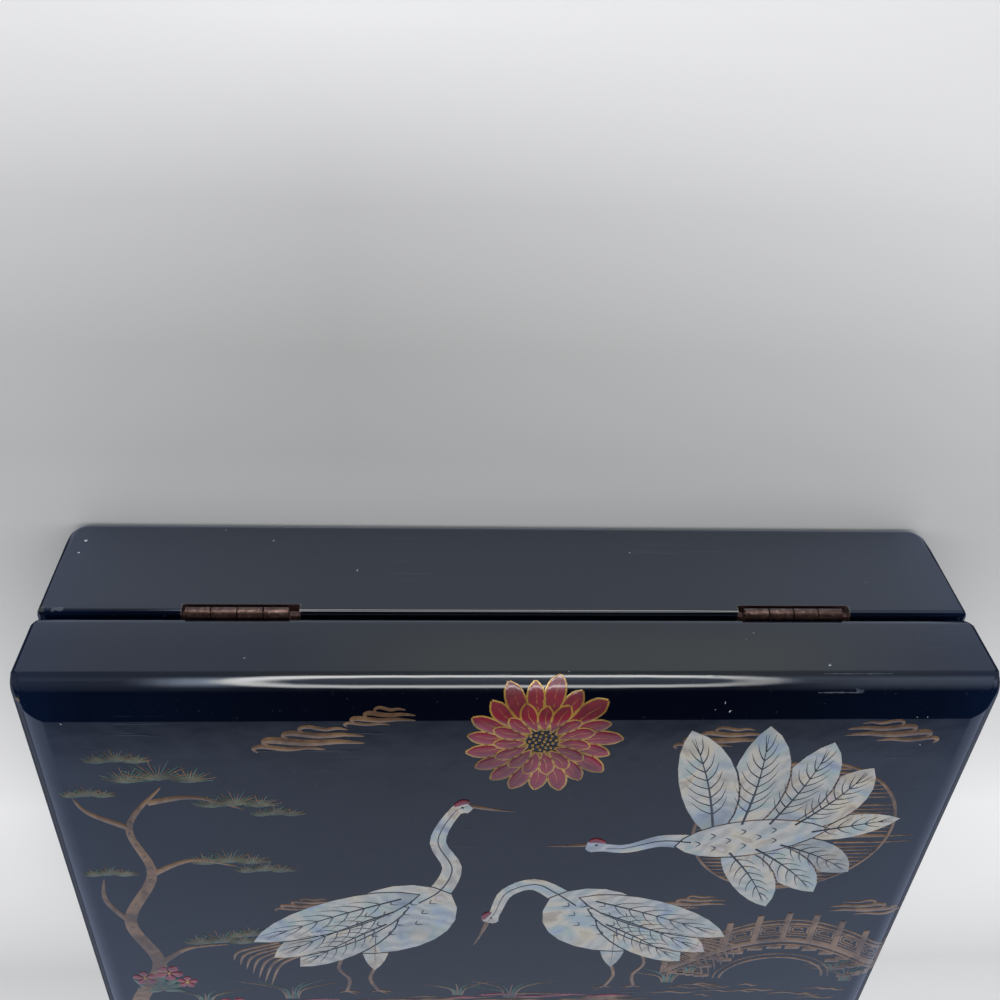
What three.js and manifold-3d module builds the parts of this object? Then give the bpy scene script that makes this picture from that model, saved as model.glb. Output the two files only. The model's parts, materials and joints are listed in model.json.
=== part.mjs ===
// A lacquered wooden jewelry box with a hinged lid, velvet lined, its lid inlaid with mother-of-pearl cranes.
// Millimetres, +Z up. X runs along the hinges and the hinged back is +Y. The origin is the middle of the foot.
import * as THREE from "three";
import { mergeVertices } from "three/addons/utils/BufferGeometryUtils.js";
import Module from "manifold-3d";

const wasm = await Module();
wasm.setup();

// Carcass
const WIDTH = 240;
const DEPTH = 165;
const BASE_HEIGHT = 36.2;
const LID_HEIGHT = 28.5;
const SEAM_GAP = 0.3;
const WALL = 8;
const BASE_FLOOR = 5;
const LID_PANEL = 5.5;
const CORNER_RADIUS = 1.5;
const CAVITY_CORNER_RADIUS = 1;
const TOP_ROUNDING = 8.6;
const BASE_RIM_ROUNDING = 1.3;
const LID_RIM_ROUNDING = 4;
const FOOT_ROUNDING = 2.5;
const FOOT_END_ROUNDING = 5;

// Butt hinges
const HINGE_SPACING = 142.6;
const HINGE_SHIFT = 1.3;
const HINGE_LENGTH = 26;
const KNUCKLES = 4;
const KNUCKLE_RADIUS = 1.5;
const KNUCKLE_GAP = 0.25;
const PIN_RADIUS = 0.5;
const PIN_CLEARANCE = 0.25;
const PIN_INSET = 0.35;
const LEAF_THICKNESS = 0.8;
const LEAF_EDGE_MARGIN = 1.1;
const MORTISE_CLEARANCE = 0.35;
const MORTISE_LEFT_CLEARANCE = 1.1;
const MORTISE_RIGHT_CLEARANCE = 2.4;
const BARREL_RECESS = 1.4;

// Hinge screws
const SCREWS_PER_LEAF = 2;
const SCREW_SPACING = 15.5;
const SCREW_HEAD_RADIUS = 1.55;
const SCREW_HEAD_HEIGHT = 0.75;
const SCREW_SHANK_RADIUS = 0.75;
const SCREW_LENGTH = 7;
const SCREW_POINT = 1.6;
const SCREW_SLOT_WIDTH = 0.45;
const SCREW_SLOT_DEPTH = 0.35;
const SCREW_CLEARANCE = 0.25;

// Velvet lining of the base
const FIT = 0.3;
const FLOOR_PAD = 3;
const LINING = 2;
const LINING_DROP = 3;
const DIVIDER = 4;
const DIVIDER_DROP = 5;
const LONG_DIVIDER_Y = -6;
const REAR_COMPARTMENTS = 3;
const RING_TRAY_WIDTH = 122;
const RING_ROLLS = 5;
const RING_ROLL_HEIGHT = 14;

// Mirror in the lid
const BACKING_BOARD = 2;
const MIRROR_SIDE_MARGIN = 17;
const MIRROR_BACK_MARGIN = 16.5;
const MIRROR_THICKNESS = 3;
const BEAD_WIDTH = 9;
const BEAD_LIP = 2.2;
const BEAD_OVERLAP = 3;
const BEAD_ROUNDING = 2;

// Shell inlay
const SHELL_THICKNESS = 0.8;
const SHELL_PROUD = 0.1;
const GLUE_LINE = 0.1;
const POCKET_CLEARANCE = 0.3;
const SHELL_JOINT = 0.5;

// The cranes on the lid: their real size, and where their feet or the flying one's middle lie
const TALL_CRANE_HEIGHT = 89;
const TALL_CRANE_X = -30;
const STOOPING_CRANE_HEIGHT = 54.15;
const STOOPING_CRANE_X = 27;
const STANDING_FROM_BACK = 129.5;
const FLYING_CRANE_LENGTH = 84;
const FLYING_FROM_END = 56;
const FLYING_FROM_BACK = 56.5;

// How far a cutter reaches past what it cuts
const CUT_MARGIN = 2;

// How finely curves are drawn
const CURVE_STEPS = 6;
const OUTLINE_STEPS = 9;
const NECK_STEPS = 22;
const ROUND_STEPS = 20;

const seam = BASE_HEIGHT + SEAM_GAP / 2;
const lidFoot = BASE_HEIGHT + SEAM_GAP;
const lidTop = lidFoot + LID_HEIGHT;
const hingeAxisY = DEPTH / 2 - PIN_INSET;
const cavityWidth = WIDTH - 2 * WALL;
const cavityDepth = DEPTH - 2 * WALL;
const padTop = BASE_FLOOR + FLOOR_PAD;
const liningTop = BASE_HEIGHT - LINING_DROP;
const dividerTop = liningTop - DIVIDER_DROP;
const linedHalfWidth = cavityWidth / 2 - FIT - LINING;
const linedHalfDepth = cavityDepth / 2 - FIT - LINING;

const LACQUER = { color: 0x0a0d16, roughness: 0.12, metalness: 0 };
const BRONZE = { color: 0x3b2a22, roughness: 0.5, metalness: 0.85 };
const STEEL = { color: 0x6d665c, roughness: 0.45, metalness: 0.9 };
const VELVET = { color: 0x5c0d16, roughness: 0.95, metalness: 0 };
const MIRROR = { color: 0xdfe6ea, roughness: 0.03, metalness: 1 };
const SHELL = { color: 0xdfe3e6, roughness: 0.22, metalness: 0 };

const at = (x, y) => new THREE.Vector2(x, y);

const box = new THREE.Group();
const base = new THREE.Group();
const lid = new THREE.Group();
box.add(base, lid);

// A closed solid from a geometry: its corners are merged and its empty triangles dropped.
function solid(geometry) {
  const bare = geometry.index ? geometry.toNonIndexed() : geometry.clone();
  bare.deleteAttribute("normal");
  bare.deleteAttribute("uv");
  const merged = mergeVertices(bare, 1e-4);
  const corners = merged.index.array;
  const triangles = [];
  for (let i = 0; i < corners.length; i += 3) {
    const [a, b, c] = corners.slice(i, i + 3);
    if (a !== b && b !== c && c !== a) triangles.push(a, b, c);
  }
  return new wasm.Manifold(
    new wasm.Mesh({
      numProp: 3,
      vertProperties: merged.attributes.position.array,
      triVerts: new Uint32Array(triangles),
    }),
  );
}

function geometryOf(made) {
  const mesh = made.getMesh();
  const geometry = new THREE.BufferGeometry();
  geometry.setAttribute("position", new THREE.BufferAttribute(mesh.vertProperties, 3));
  geometry.setIndex(new THREE.BufferAttribute(mesh.triVerts, 1));
  geometry.computeVertexNormals();
  return geometry;
}

function place(group, name, made, finish) {
  const mesh = new THREE.Mesh(geometryOf(made), new THREE.MeshStandardMaterial(finish));
  mesh.name = name;
  group.add(mesh);
}

function cuboid(lowX, highX, lowY, highY, lowZ, highZ) {
  const geometry = new THREE.BoxGeometry(highX - lowX, highY - lowY, highZ - lowZ);
  geometry.translate((lowX + highX) / 2, (lowY + highY) / 2, (lowZ + highZ) / 2);
  return solid(geometry);
}

// A shape drawn in plan, from one height to another.
function fromPlan(shape, low, high) {
  const geometry = new THREE.ExtrudeGeometry(shape, {
    depth: high - low,
    bevelEnabled: false,
    curveSegments: CURVE_STEPS,
  });
  geometry.translate(0, 0, low);
  return solid(geometry);
}

// A section drawn as the box is seen from its right end: across is Y, up is Z.
function fromEnd(shape, low, high) {
  const geometry = new THREE.ExtrudeGeometry(shape, {
    depth: high - low,
    bevelEnabled: false,
    curveSegments: CURVE_STEPS,
  });
  geometry.translate(0, 0, low);
  const turn = new THREE.Matrix4().makeBasis(
    new THREE.Vector3(0, 1, 0),
    new THREE.Vector3(0, 0, 1),
    new THREE.Vector3(1, 0, 0),
  );
  geometry.applyMatrix4(turn);
  return solid(geometry);
}

// A section drawn as the box is seen from the front: across is X, up is Z.
function fromFront(shape, length) {
  const geometry = new THREE.ExtrudeGeometry(shape, {
    depth: length,
    bevelEnabled: false,
    curveSegments: CURVE_STEPS,
  });
  geometry.translate(0, 0, -length / 2);
  geometry.rotateX(Math.PI / 2);
  return solid(geometry);
}

// A rectangle with one radius at its low corners and another at its high corners.
function roundedRectangle(width, low, high, lowRadius, highRadius) {
  const half = width / 2;
  const shape = new THREE.Shape();
  shape.moveTo(-half + lowRadius, low);
  shape.lineTo(half - lowRadius, low);
  shape.absarc(half - lowRadius, low + lowRadius, lowRadius, -Math.PI / 2, 0);
  shape.lineTo(half, high - highRadius);
  shape.absarc(half - highRadius, high - highRadius, highRadius, 0, Math.PI / 2);
  shape.lineTo(-half + highRadius, high);
  shape.absarc(-half + highRadius, high - highRadius, highRadius, Math.PI / 2, Math.PI);
  shape.lineTo(-half, low + lowRadius);
  shape.absarc(-half + lowRadius, low + lowRadius, lowRadius, Math.PI, Math.PI * 1.5);
  return shape;
}

// The box's outer block between two heights: its plan, front and end outlines meet in one solid.
function roundedBlock(low, high, lowRadius, highRadius, lowEndRadius = lowRadius) {
  const plan = fromPlan(
    roundedRectangle(WIDTH, -DEPTH / 2, DEPTH / 2, CORNER_RADIUS, CORNER_RADIUS),
    low - CUT_MARGIN,
    high + CUT_MARGIN,
  );
  const front = fromFront(
    roundedRectangle(WIDTH, low, high, lowEndRadius, highRadius),
    DEPTH + 2 * CUT_MARGIN,
  );
  const end = fromEnd(
    roundedRectangle(DEPTH, low, high, lowRadius, highRadius),
    -WIDTH / 2 - CUT_MARGIN,
    WIDTH / 2 + CUT_MARGIN,
  );
  return plan.intersect(front).intersect(end);
}

function cavity(low, high) {
  const outline = roundedRectangle(
    cavityWidth,
    -cavityDepth / 2,
    cavityDepth / 2,
    CAVITY_CORNER_RADIUS,
    CAVITY_CORNER_RADIUS,
  );
  return fromPlan(outline, low, high);
}

// A round bar along X, centred on the hinge axis.
function axisBar(radius, lowX, highX) {
  const geometry = new THREE.CylinderGeometry(radius, radius, highX - lowX, ROUND_STEPS);
  geometry.rotateZ(Math.PI / 2);
  geometry.translate((lowX + highX) / 2, hingeAxisY, seam);
  return solid(geometry);
}

const hingeCentres = [HINGE_SHIFT - HINGE_SPACING / 2, HINGE_SHIFT + HINGE_SPACING / 2];
const hingeNames = ["left", "right"];
const leafInnerY = DEPTH / 2 - WALL + LEAF_EDGE_MARGIN;
const screwY = (leafInnerY + hingeAxisY - KNUCKLE_RADIUS) / 2;

function screwPlaces(centreX) {
  const places = [];
  for (let i = 0; i < SCREWS_PER_LEAF; i++) {
    places.push(centreX + (i - (SCREWS_PER_LEAF - 1) / 2) * SCREW_SPACING);
  }
  return places;
}

// A wood screw driven down from the leaf's face, or up when side is -1. A clearance makes it the screw's hole.
function screwBody(x, face, side, clearance) {
  const profile = [
    at(0, -SCREW_LENGTH - clearance),
    at(SCREW_SHANK_RADIUS + clearance, -SCREW_LENGTH + SCREW_POINT),
    at(SCREW_SHANK_RADIUS + clearance, -SCREW_HEAD_HEIGHT),
    at(SCREW_HEAD_RADIUS + clearance, 0),
    at(SCREW_HEAD_RADIUS + clearance, clearance),
    at(0, clearance),
  ];
  const geometry = new THREE.LatheGeometry(profile, ROUND_STEPS);
  geometry.rotateX(side * (Math.PI / 2));
  geometry.translate(x, screwY, face);
  return solid(geometry);
}

// The room a hinge needs in a rim: a flat seat for the leaf and a groove round the knuckles.
function hingeMortise(centreX, face, side) {
  const lowX = centreX - HINGE_LENGTH / 2 - MORTISE_LEFT_CLEARANCE;
  const highX = centreX + HINGE_LENGTH / 2 + MORTISE_RIGHT_CLEARANCE;
  const deep = face - side * LEAF_THICKNESS;
  const clear = face + side * CUT_MARGIN;
  const seat = cuboid(
    lowX,
    highX,
    leafInnerY - MORTISE_CLEARANCE,
    DEPTH / 2 + CUT_MARGIN,
    Math.min(deep, clear),
    Math.max(deep, clear),
  );
  let room = seat.add(axisBar(KNUCKLE_RADIUS + MORTISE_CLEARANCE, lowX, highX));
  for (const x of screwPlaces(centreX)) {
    room = room.add(screwBody(x, face, side, SCREW_CLEARANCE));
  }
  return room;
}

// The base is cut away further below the barrel of a hinge, through its back face.
function barrelRecess(centreX) {
  return cuboid(
    centreX - HINGE_LENGTH / 2 - MORTISE_LEFT_CLEARANCE,
    centreX + HINGE_LENGTH / 2 + MORTISE_RIGHT_CLEARANCE,
    hingeAxisY - KNUCKLE_RADIUS - MORTISE_CLEARANCE,
    DEPTH / 2 + CUT_MARGIN,
    seam - KNUCKLE_RADIUS - BARREL_RECESS,
    BASE_HEIGHT + CUT_MARGIN,
  );
}

function baseShell() {
  let made = roundedBlock(0, BASE_HEIGHT, FOOT_ROUNDING, BASE_RIM_ROUNDING, FOOT_END_ROUNDING);
  made = made.subtract(cavity(BASE_FLOOR, BASE_HEIGHT + CUT_MARGIN));
  for (const x of hingeCentres) {
    made = made.subtract(hingeMortise(x, BASE_HEIGHT, 1)).subtract(barrelRecess(x));
  }
  return made;
}

function lidShell(pockets) {
  let made = roundedBlock(lidFoot, lidTop, LID_RIM_ROUNDING, TOP_ROUNDING);
  made = made.subtract(cavity(lidFoot - CUT_MARGIN, lidTop - LID_PANEL));
  for (const x of hingeCentres) made = made.subtract(hingeMortise(x, lidFoot, -1));
  return made.subtract(pockets);
}

// One hinge leaf with every second knuckle, the first of them at the given place.
function hingeLeaf(centreX, face, side, firstKnuckle) {
  const pitch = HINGE_LENGTH / KNUCKLES;
  const start = centreX - HINGE_LENGTH / 2;
  const deep = face - side * LEAF_THICKNESS;
  const low = Math.min(deep, face);
  const high = Math.max(deep, face);
  const notchY = hingeAxisY - KNUCKLE_RADIUS - PIN_CLEARANCE;
  let leaf = cuboid(start, start + HINGE_LENGTH, leafInnerY, notchY, low, high);
  for (let i = firstKnuckle; i < KNUCKLES; i += 2) {
    const lowX = start + i * pitch + KNUCKLE_GAP / 2;
    const highX = start + (i + 1) * pitch - KNUCKLE_GAP / 2;
    const tongue = cuboid(lowX, highX, notchY - LEAF_THICKNESS, hingeAxisY, low, high);
    leaf = leaf.add(tongue).add(axisBar(KNUCKLE_RADIUS, lowX, highX));
  }
  const bore = axisBar(PIN_RADIUS + PIN_CLEARANCE, start - CUT_MARGIN, start + HINGE_LENGTH + CUT_MARGIN);
  leaf = leaf.subtract(bore);
  for (const x of screwPlaces(centreX)) {
    leaf = leaf.subtract(screwBody(x, face, side, SCREW_CLEARANCE / 2));
  }
  return leaf;
}

function hingeScrew(x, face, side) {
  const half = SCREW_SLOT_WIDTH / 2;
  const bottom = face - side * SCREW_SLOT_DEPTH;
  const above = face + side * SCREW_HEAD_HEIGHT;
  const slot = cuboid(
    x - half,
    x + half,
    screwY - 2 * SCREW_HEAD_RADIUS,
    screwY + 2 * SCREW_HEAD_RADIUS,
    Math.min(bottom, above),
    Math.max(bottom, above),
  );
  return screwBody(x, face, side, 0).subtract(slot);
}

function addHinges() {
  const sides = [
    { group: base, word: "base", face: BASE_HEIGHT, side: 1, firstKnuckle: 0 },
    { group: lid, word: "lid", face: lidFoot, side: -1, firstKnuckle: 1 },
  ];
  hingeCentres.forEach((centreX, index) => {
    const hinge = `${hingeNames[index]}_hinge`;
    for (const { group, word, face, side, firstKnuckle } of sides) {
      place(group, `${hinge}_${word}_leaf`, hingeLeaf(centreX, face, side, firstKnuckle), BRONZE);
      screwPlaces(centreX).forEach((x, i) => {
        place(group, `${hinge}_${word}_screw_${i + 1}`, hingeScrew(x, face, side), STEEL);
      });
    }
    const half = HINGE_LENGTH / 2;
    place(base, `${hinge}_pin`, axisBar(PIN_RADIUS, centreX - half, centreX + half), BRONZE);
  });
}

function addLining() {
  const padHalfWidth = cavityWidth / 2 - FIT;
  const padHalfDepth = cavityDepth / 2 - FIT;
  const pad = cuboid(-padHalfWidth, padHalfWidth, -padHalfDepth, padHalfDepth, BASE_FLOOR, padTop);
  place(base, "base_floor_pad", pad, VELVET);
  const front = cuboid(-padHalfWidth, padHalfWidth, -padHalfDepth, -linedHalfDepth, padTop, liningTop);
  place(base, "front_lining", front, VELVET);
  const back = cuboid(-padHalfWidth, padHalfWidth, linedHalfDepth, padHalfDepth, padTop, liningTop);
  place(base, "back_lining", back, VELVET);
  const endDepth = linedHalfDepth - FIT;
  const left = cuboid(-padHalfWidth, -linedHalfWidth, -endDepth, endDepth, padTop, liningTop);
  place(base, "left_lining", left, VELVET);
  const right = cuboid(linedHalfWidth, padHalfWidth, -endDepth, endDepth, padTop, liningTop);
  place(base, "right_lining", right, VELVET);
}

const dividerFrontY = LONG_DIVIDER_Y - DIVIDER / 2;
const dividerBackY = LONG_DIVIDER_Y + DIVIDER / 2;

function addDividers() {
  const halfLength = linedHalfWidth - FIT;
  const long = cuboid(-halfLength, halfLength, dividerFrontY, dividerBackY, padTop, dividerTop);
  place(base, "long_divider", long, VELVET);
  const pitch = (2 * linedHalfWidth) / REAR_COMPARTMENTS;
  for (let i = 1; i < REAR_COMPARTMENTS; i++) {
    const x = -linedHalfWidth + i * pitch;
    const rear = cuboid(
      x - DIVIDER / 2,
      x + DIVIDER / 2,
      dividerBackY + FIT,
      linedHalfDepth - FIT,
      padTop,
      dividerTop,
    );
    place(base, `rear_divider_${i}`, rear, VELVET);
  }
  const x = -linedHalfWidth + RING_TRAY_WIDTH;
  const front = cuboid(x, x + DIVIDER, -linedHalfDepth + FIT, dividerFrontY - FIT, padTop, dividerTop);
  place(base, "front_divider", front, VELVET);
}

// Padded bars side by side, flat underneath and round on top, for rings to stand between.
function addRingRolls() {
  const lowY = -linedHalfDepth;
  const pitch = (dividerFrontY - lowY) / RING_ROLLS;
  const radius = (pitch - FIT) / 2;
  for (let i = 0; i < RING_ROLLS; i++) {
    const y = lowY + (i + 0.5) * pitch;
    const shape = new THREE.Shape();
    shape.moveTo(y - radius, padTop);
    shape.lineTo(y + radius, padTop);
    shape.lineTo(y + radius, padTop + RING_ROLL_HEIGHT - radius);
    shape.absarc(y, padTop + RING_ROLL_HEIGHT - radius, radius, 0, Math.PI);
    const roll = fromEnd(shape, -linedHalfWidth + FIT, -linedHalfWidth + RING_TRAY_WIDTH - FIT);
    place(base, `ring_roll_${i + 1}`, roll, VELVET);
  }
}

// The mirror lies against a velvet covered board under the lid's top, held by four mitred beads.
function addMirror() {
  const boardTop = lidTop - LID_PANEL;
  const boardFoot = boardTop - BACKING_BOARD;
  const halfBoardWidth = cavityWidth / 2 - FIT;
  const halfBoardDepth = cavityDepth / 2 - FIT;
  const board = cuboid(
    -halfBoardWidth,
    halfBoardWidth,
    -halfBoardDepth,
    halfBoardDepth,
    boardFoot,
    boardTop,
  );
  place(lid, "lid_backing_board", board, VELVET);

  const mirrorFoot = boardFoot - MIRROR_THICKNESS;
  const halfWidth = cavityWidth / 2 - MIRROR_SIDE_MARGIN;
  const halfDepth = cavityDepth / 2 - MIRROR_BACK_MARGIN;
  const mirror = cuboid(-halfWidth, halfWidth, -halfDepth, halfDepth, mirrorFoot, boardFoot);
  place(lid, "mirror", mirror, MIRROR);

  const beadFoot = mirrorFoot - FIT - BEAD_LIP;
  const inner = -BEAD_OVERLAP;
  const outer = BEAD_WIDTH - BEAD_OVERLAP;
  const rebate = cuboid(
    -halfWidth - FIT,
    halfWidth + FIT,
    -halfDepth - FIT,
    halfDepth + FIT,
    mirrorFoot - FIT,
    boardTop,
  );
  const sides = [
    { name: "mirror_bead_front", along: halfWidth, across: halfDepth, turn: 0 },
    { name: "mirror_bead_right", along: halfDepth, across: halfWidth, turn: 1 },
    { name: "mirror_bead_back", along: halfWidth, across: halfDepth, turn: 2 },
    { name: "mirror_bead_left", along: halfDepth, across: halfWidth, turn: 3 },
  ];
  for (const { name, along, across, turn } of sides) {
    const quarter = turn * (Math.PI / 2);
    const plan = new THREE.Shape();
    plan.moveTo(-along - outer + FIT / 2, -across - outer);
    plan.lineTo(along + outer - FIT / 2, -across - outer);
    plan.lineTo(along + inner - FIT / 2, -across - inner);
    plan.lineTo(-along - inner + FIT / 2, -across - inner);
    const mitred = fromPlan(plan, beadFoot - CUT_MARGIN, boardFoot);
    const section = new THREE.Shape();
    section.moveTo(-across - outer, boardFoot);
    section.lineTo(-across - outer, beadFoot + BEAD_ROUNDING);
    section.absarc(
      -across - outer + BEAD_ROUNDING,
      beadFoot + BEAD_ROUNDING,
      BEAD_ROUNDING,
      Math.PI,
      Math.PI * 1.5,
    );
    section.lineTo(-across - inner, beadFoot);
    section.lineTo(-across - inner, boardFoot);
    const length = fromEnd(section, -along - BEAD_WIDTH, along + BEAD_WIDTH);
    const turned = geometryOf(mitred.intersect(length));
    turned.rotateZ(quarter);
    place(lid, name, solid(turned).subtract(rebate), LACQUER);
  }
}

// A plate like a leaf or feather, pointed at both ends, widest where the bulge says.
function leafOutline(from, to, width, bulge = 0.45, bend = 0) {
  const along = to.clone().sub(from);
  const across = at(-along.y, along.x).normalize();
  const side = (share, offset) =>
    from.clone().addScaledVector(along, share).addScaledVector(across, offset);
  const reach = (width * 2) / 3;
  const upper = [side(bulge - 0.3, reach + bend), side(bulge + 0.3, reach + bend)];
  const lower = [side(bulge + 0.3, -reach + bend), side(bulge - 0.3, -reach + bend)];
  const shape = new THREE.Shape();
  shape.moveTo(from.x, from.y);
  shape.bezierCurveTo(lower[1].x, lower[1].y, lower[0].x, lower[0].y, to.x, to.y);
  shape.bezierCurveTo(upper[1].x, upper[1].y, upper[0].x, upper[0].y, from.x, from.y);
  return shape;
}

// A neck: a band along a smooth line, wide at the breast, narrow behind the head, with the head at its end.
function neckOutline(points, startWidth, endWidth) {
  const headAt = 0.92;
  const headLength = 0.06;
  const headSwell = 1.3;
  const line = new THREE.SplineCurve(points);
  const left = [];
  const right = [];
  for (let i = 0; i <= NECK_STEPS; i++) {
    const t = i / NECK_STEPS;
    const centre = line.getPoint(t);
    const tangent = line.getTangent(t);
    const across = at(-tangent.y, tangent.x);
    const band = (startWidth + (endWidth - startWidth) * Math.sqrt(t)) / 2;
    const half = band + headSwell * Math.exp(-(((t - headAt) / headLength) ** 2));
    left.push(centre.clone().addScaledVector(across, half));
    right.push(centre.clone().addScaledVector(across, -half));
  }
  return new THREE.Shape([...right, ...left.reverse()]);
}

// Feathers side by side, each turned a little further than the one before it.
function wing(name, { root, rootStep, angle, angleStep, lengths, width, bend }) {
  return lengths.map((length, i) => {
    const from = root.clone().addScaledVector(rootStep, i);
    const turn = THREE.MathUtils.degToRad(angle + i * angleStep);
    const to = at(from.x + length * Math.cos(turn), from.y + length * Math.sin(turn));
    return { part: `${name}_feather_${i + 1}`, shape: leafOutline(from, to, width, 0.5, bend) };
  });
}

// Each crane is a list of plates, drawn facing left, with its feet or the middle of its body at the origin.
function standingCrane(neckLine) {
  return [
    ...wing("wing", {
      root: at(-6, 50),
      rootStep: at(3, -6),
      angle: -25,
      angleStep: -7,
      lengths: [52, 46, 37],
      width: 14,
      bend: 1.5,
    }),
    { part: "breast", shape: leafOutline(at(-15, 50), at(22, 24), 30, 0.4, -1) },
    { part: "neck", shape: neckOutline([at(-5, 44), at(-11, 50), ...neckLine], 10, 2.6) },
    { part: "thigh", shape: leafOutline(at(6, 34), at(7, 12), 8, 0.4) },
  ];
}

function flyingCrane() {
  return [
    { part: "breast", shape: leafOutline(at(-19, 0), at(22, 2), 15, 0.42) },
    { part: "neck", shape: neckOutline([at(-14, 1), at(-23, 3), at(-33, 1), at(-43, 4)], 8, 2.6) },
    ...wing("near_wing", {
      root: at(-9, 3),
      rootStep: at(6.5, 0),
      angle: 99,
      angleStep: -17,
      lengths: [44, 43, 38, 31],
      width: 15,
      bend: -2,
    }),
    ...wing("far_wing", {
      root: at(-6, -2),
      rootStep: at(6.5, 0),
      angle: -66,
      angleStep: 15,
      lengths: [33, 32, 28],
      width: 12,
      bend: 2,
    }),
    { part: "tail", shape: leafOutline(at(15, 1), at(41, 4), 10, 0.4) },
  ];
}

// The drawings have units of their own: drawn is how many of them the real size spans.
const CRANES = [
  {
    name: "tall_crane",
    plates: standingCrane([at(-15, 62), at(-11, 74), at(-15, 86), at(-19, 89)]),
    drawn: 89,
    real: TALL_CRANE_HEIGHT,
    x: TALL_CRANE_X,
    y: DEPTH / 2 - STANDING_FROM_BACK,
    turn: 0,
    flip: -1,
  },
  {
    name: "stooping_crane",
    plates: standingCrane([at(-20, 57), at(-28, 53), at(-31, 43), at(-33, 38)]),
    drawn: 57,
    real: STOOPING_CRANE_HEIGHT,
    x: STOOPING_CRANE_X,
    y: DEPTH / 2 - STANDING_FROM_BACK,
    turn: 0,
    flip: 1,
  },
  {
    name: "flying_crane",
    plates: flyingCrane(),
    drawn: 84,
    real: FLYING_CRANE_LENGTH,
    x: WIDTH / 2 - FLYING_FROM_END,
    y: DEPTH / 2 - FLYING_FROM_BACK,
    turn: 7,
    flip: 1,
  },
];

// A plate's outline moved to its place on the lid.
function onLid(shape, { drawn, real, x, y, turn, flip }) {
  const points = shape.getPoints(OUTLINE_STEPS);
  const angle = THREE.MathUtils.degToRad(turn);
  const size = real / drawn;
  const moved = points.map((point) =>
    at(point.x * flip * size, point.y * size).rotateAround(at(0, 0), angle).add(at(x, y)),
  );
  return new THREE.Shape(moved);
}

// An outline extruded between two heights after it has grown by an even margin.
function grown(shape, margin, low, high) {
  const skin = SHELL_PROUD / 2;
  const geometry = new THREE.ExtrudeGeometry(shape, {
    depth: high - low - 2 * skin,
    bevelEnabled: true,
    bevelThickness: skin,
    bevelSize: 0,
    bevelOffset: margin,
    bevelSegments: 1,
  });
  geometry.translate(0, 0, low + skin);
  return solid(geometry);
}

// The main piece of a plate, without the offcuts that its neighbours leave.
function mainPiece(plate) {
  const pieces = plate.decompose();
  return pieces.sort((a, b) => b.volume() - a.volume())[0];
}

// Cuts the plates out one after the other, each clear of the ones before it, and gives back their pockets.
function addInlay() {
  const plateTop = lidTop + SHELL_PROUD;
  const plateFoot = plateTop - SHELL_THICKNESS;
  const pocketFoot = plateFoot - GLUE_LINE;
  let pockets = null;
  for (const crane of CRANES) {
    for (const { part, shape } of crane.plates) {
      const outline = onLid(shape, crane);
      let plate = fromPlan(outline, plateFoot, plateTop);
      const pocket = grown(outline, POCKET_CLEARANCE, pocketFoot, lidTop + CUT_MARGIN);
      if (pockets) plate = mainPiece(plate.subtract(pockets.grownForJoints));
      const joint = grown(outline, SHELL_JOINT, pocketFoot - CUT_MARGIN, lidTop + CUT_MARGIN);
      pockets = {
        cut: pockets ? pockets.cut.add(pocket) : pocket,
        grownForJoints: pockets ? pockets.grownForJoints.add(joint) : joint,
      };
      place(lid, `${crane.name}_${part}`, plate, SHELL);
    }
  }
  return pockets.cut;
}

place(base, "base_shell", baseShell(), LACQUER);
addLining();
addDividers();
addRingRolls();
place(lid, "lid_shell", lidShell(addInlay()), LACQUER);
addMirror();
addHinges();

export default box;
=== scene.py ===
"""The looks of a lacquered jewelry box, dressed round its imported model.

Metres, with +Z up. The hinged back is +Y.
"""

import json
import math
import random

import bmesh
import bpy
from mathutils import Matrix, Vector, noise


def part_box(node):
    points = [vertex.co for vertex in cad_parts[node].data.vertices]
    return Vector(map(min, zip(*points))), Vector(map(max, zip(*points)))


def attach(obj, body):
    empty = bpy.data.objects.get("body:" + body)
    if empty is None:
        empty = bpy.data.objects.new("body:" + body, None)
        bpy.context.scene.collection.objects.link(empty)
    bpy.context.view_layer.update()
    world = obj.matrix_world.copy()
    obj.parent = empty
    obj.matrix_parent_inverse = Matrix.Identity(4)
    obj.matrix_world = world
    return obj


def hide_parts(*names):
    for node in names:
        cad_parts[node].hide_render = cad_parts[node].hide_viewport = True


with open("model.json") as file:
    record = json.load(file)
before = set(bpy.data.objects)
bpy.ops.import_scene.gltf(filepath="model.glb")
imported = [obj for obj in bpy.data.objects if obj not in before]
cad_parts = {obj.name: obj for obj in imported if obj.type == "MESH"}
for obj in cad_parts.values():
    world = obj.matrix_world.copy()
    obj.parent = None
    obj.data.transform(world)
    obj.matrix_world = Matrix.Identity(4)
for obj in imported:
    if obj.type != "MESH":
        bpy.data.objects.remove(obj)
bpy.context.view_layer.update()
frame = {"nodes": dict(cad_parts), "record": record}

MM = 0.001
NODES = frame["nodes"]

# The carcass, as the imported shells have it
BASE_LOW, BASE_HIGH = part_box("base_shell")
LID_LOW, LID_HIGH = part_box("lid_shell")
WALL = 8 * MM
BASE_FLOOR = 5 * MM
LID_PANEL = 5.5 * MM
CORNER_RADIUS = 1.5 * MM
TOP_ROUNDING = 8.6 * MM
BASE_RIM_ROUNDING = 1.3 * MM
LID_RIM_ROUNDING = 4 * MM
FOOT_ROUNDING = 2.5 * MM
FOOT_END_ROUNDING = 5 * MM
CASE_SEGMENTS = 14
CAVITY_CORNER = 1 * MM
CAVITY_EDGE = 0.5 * MM

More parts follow.
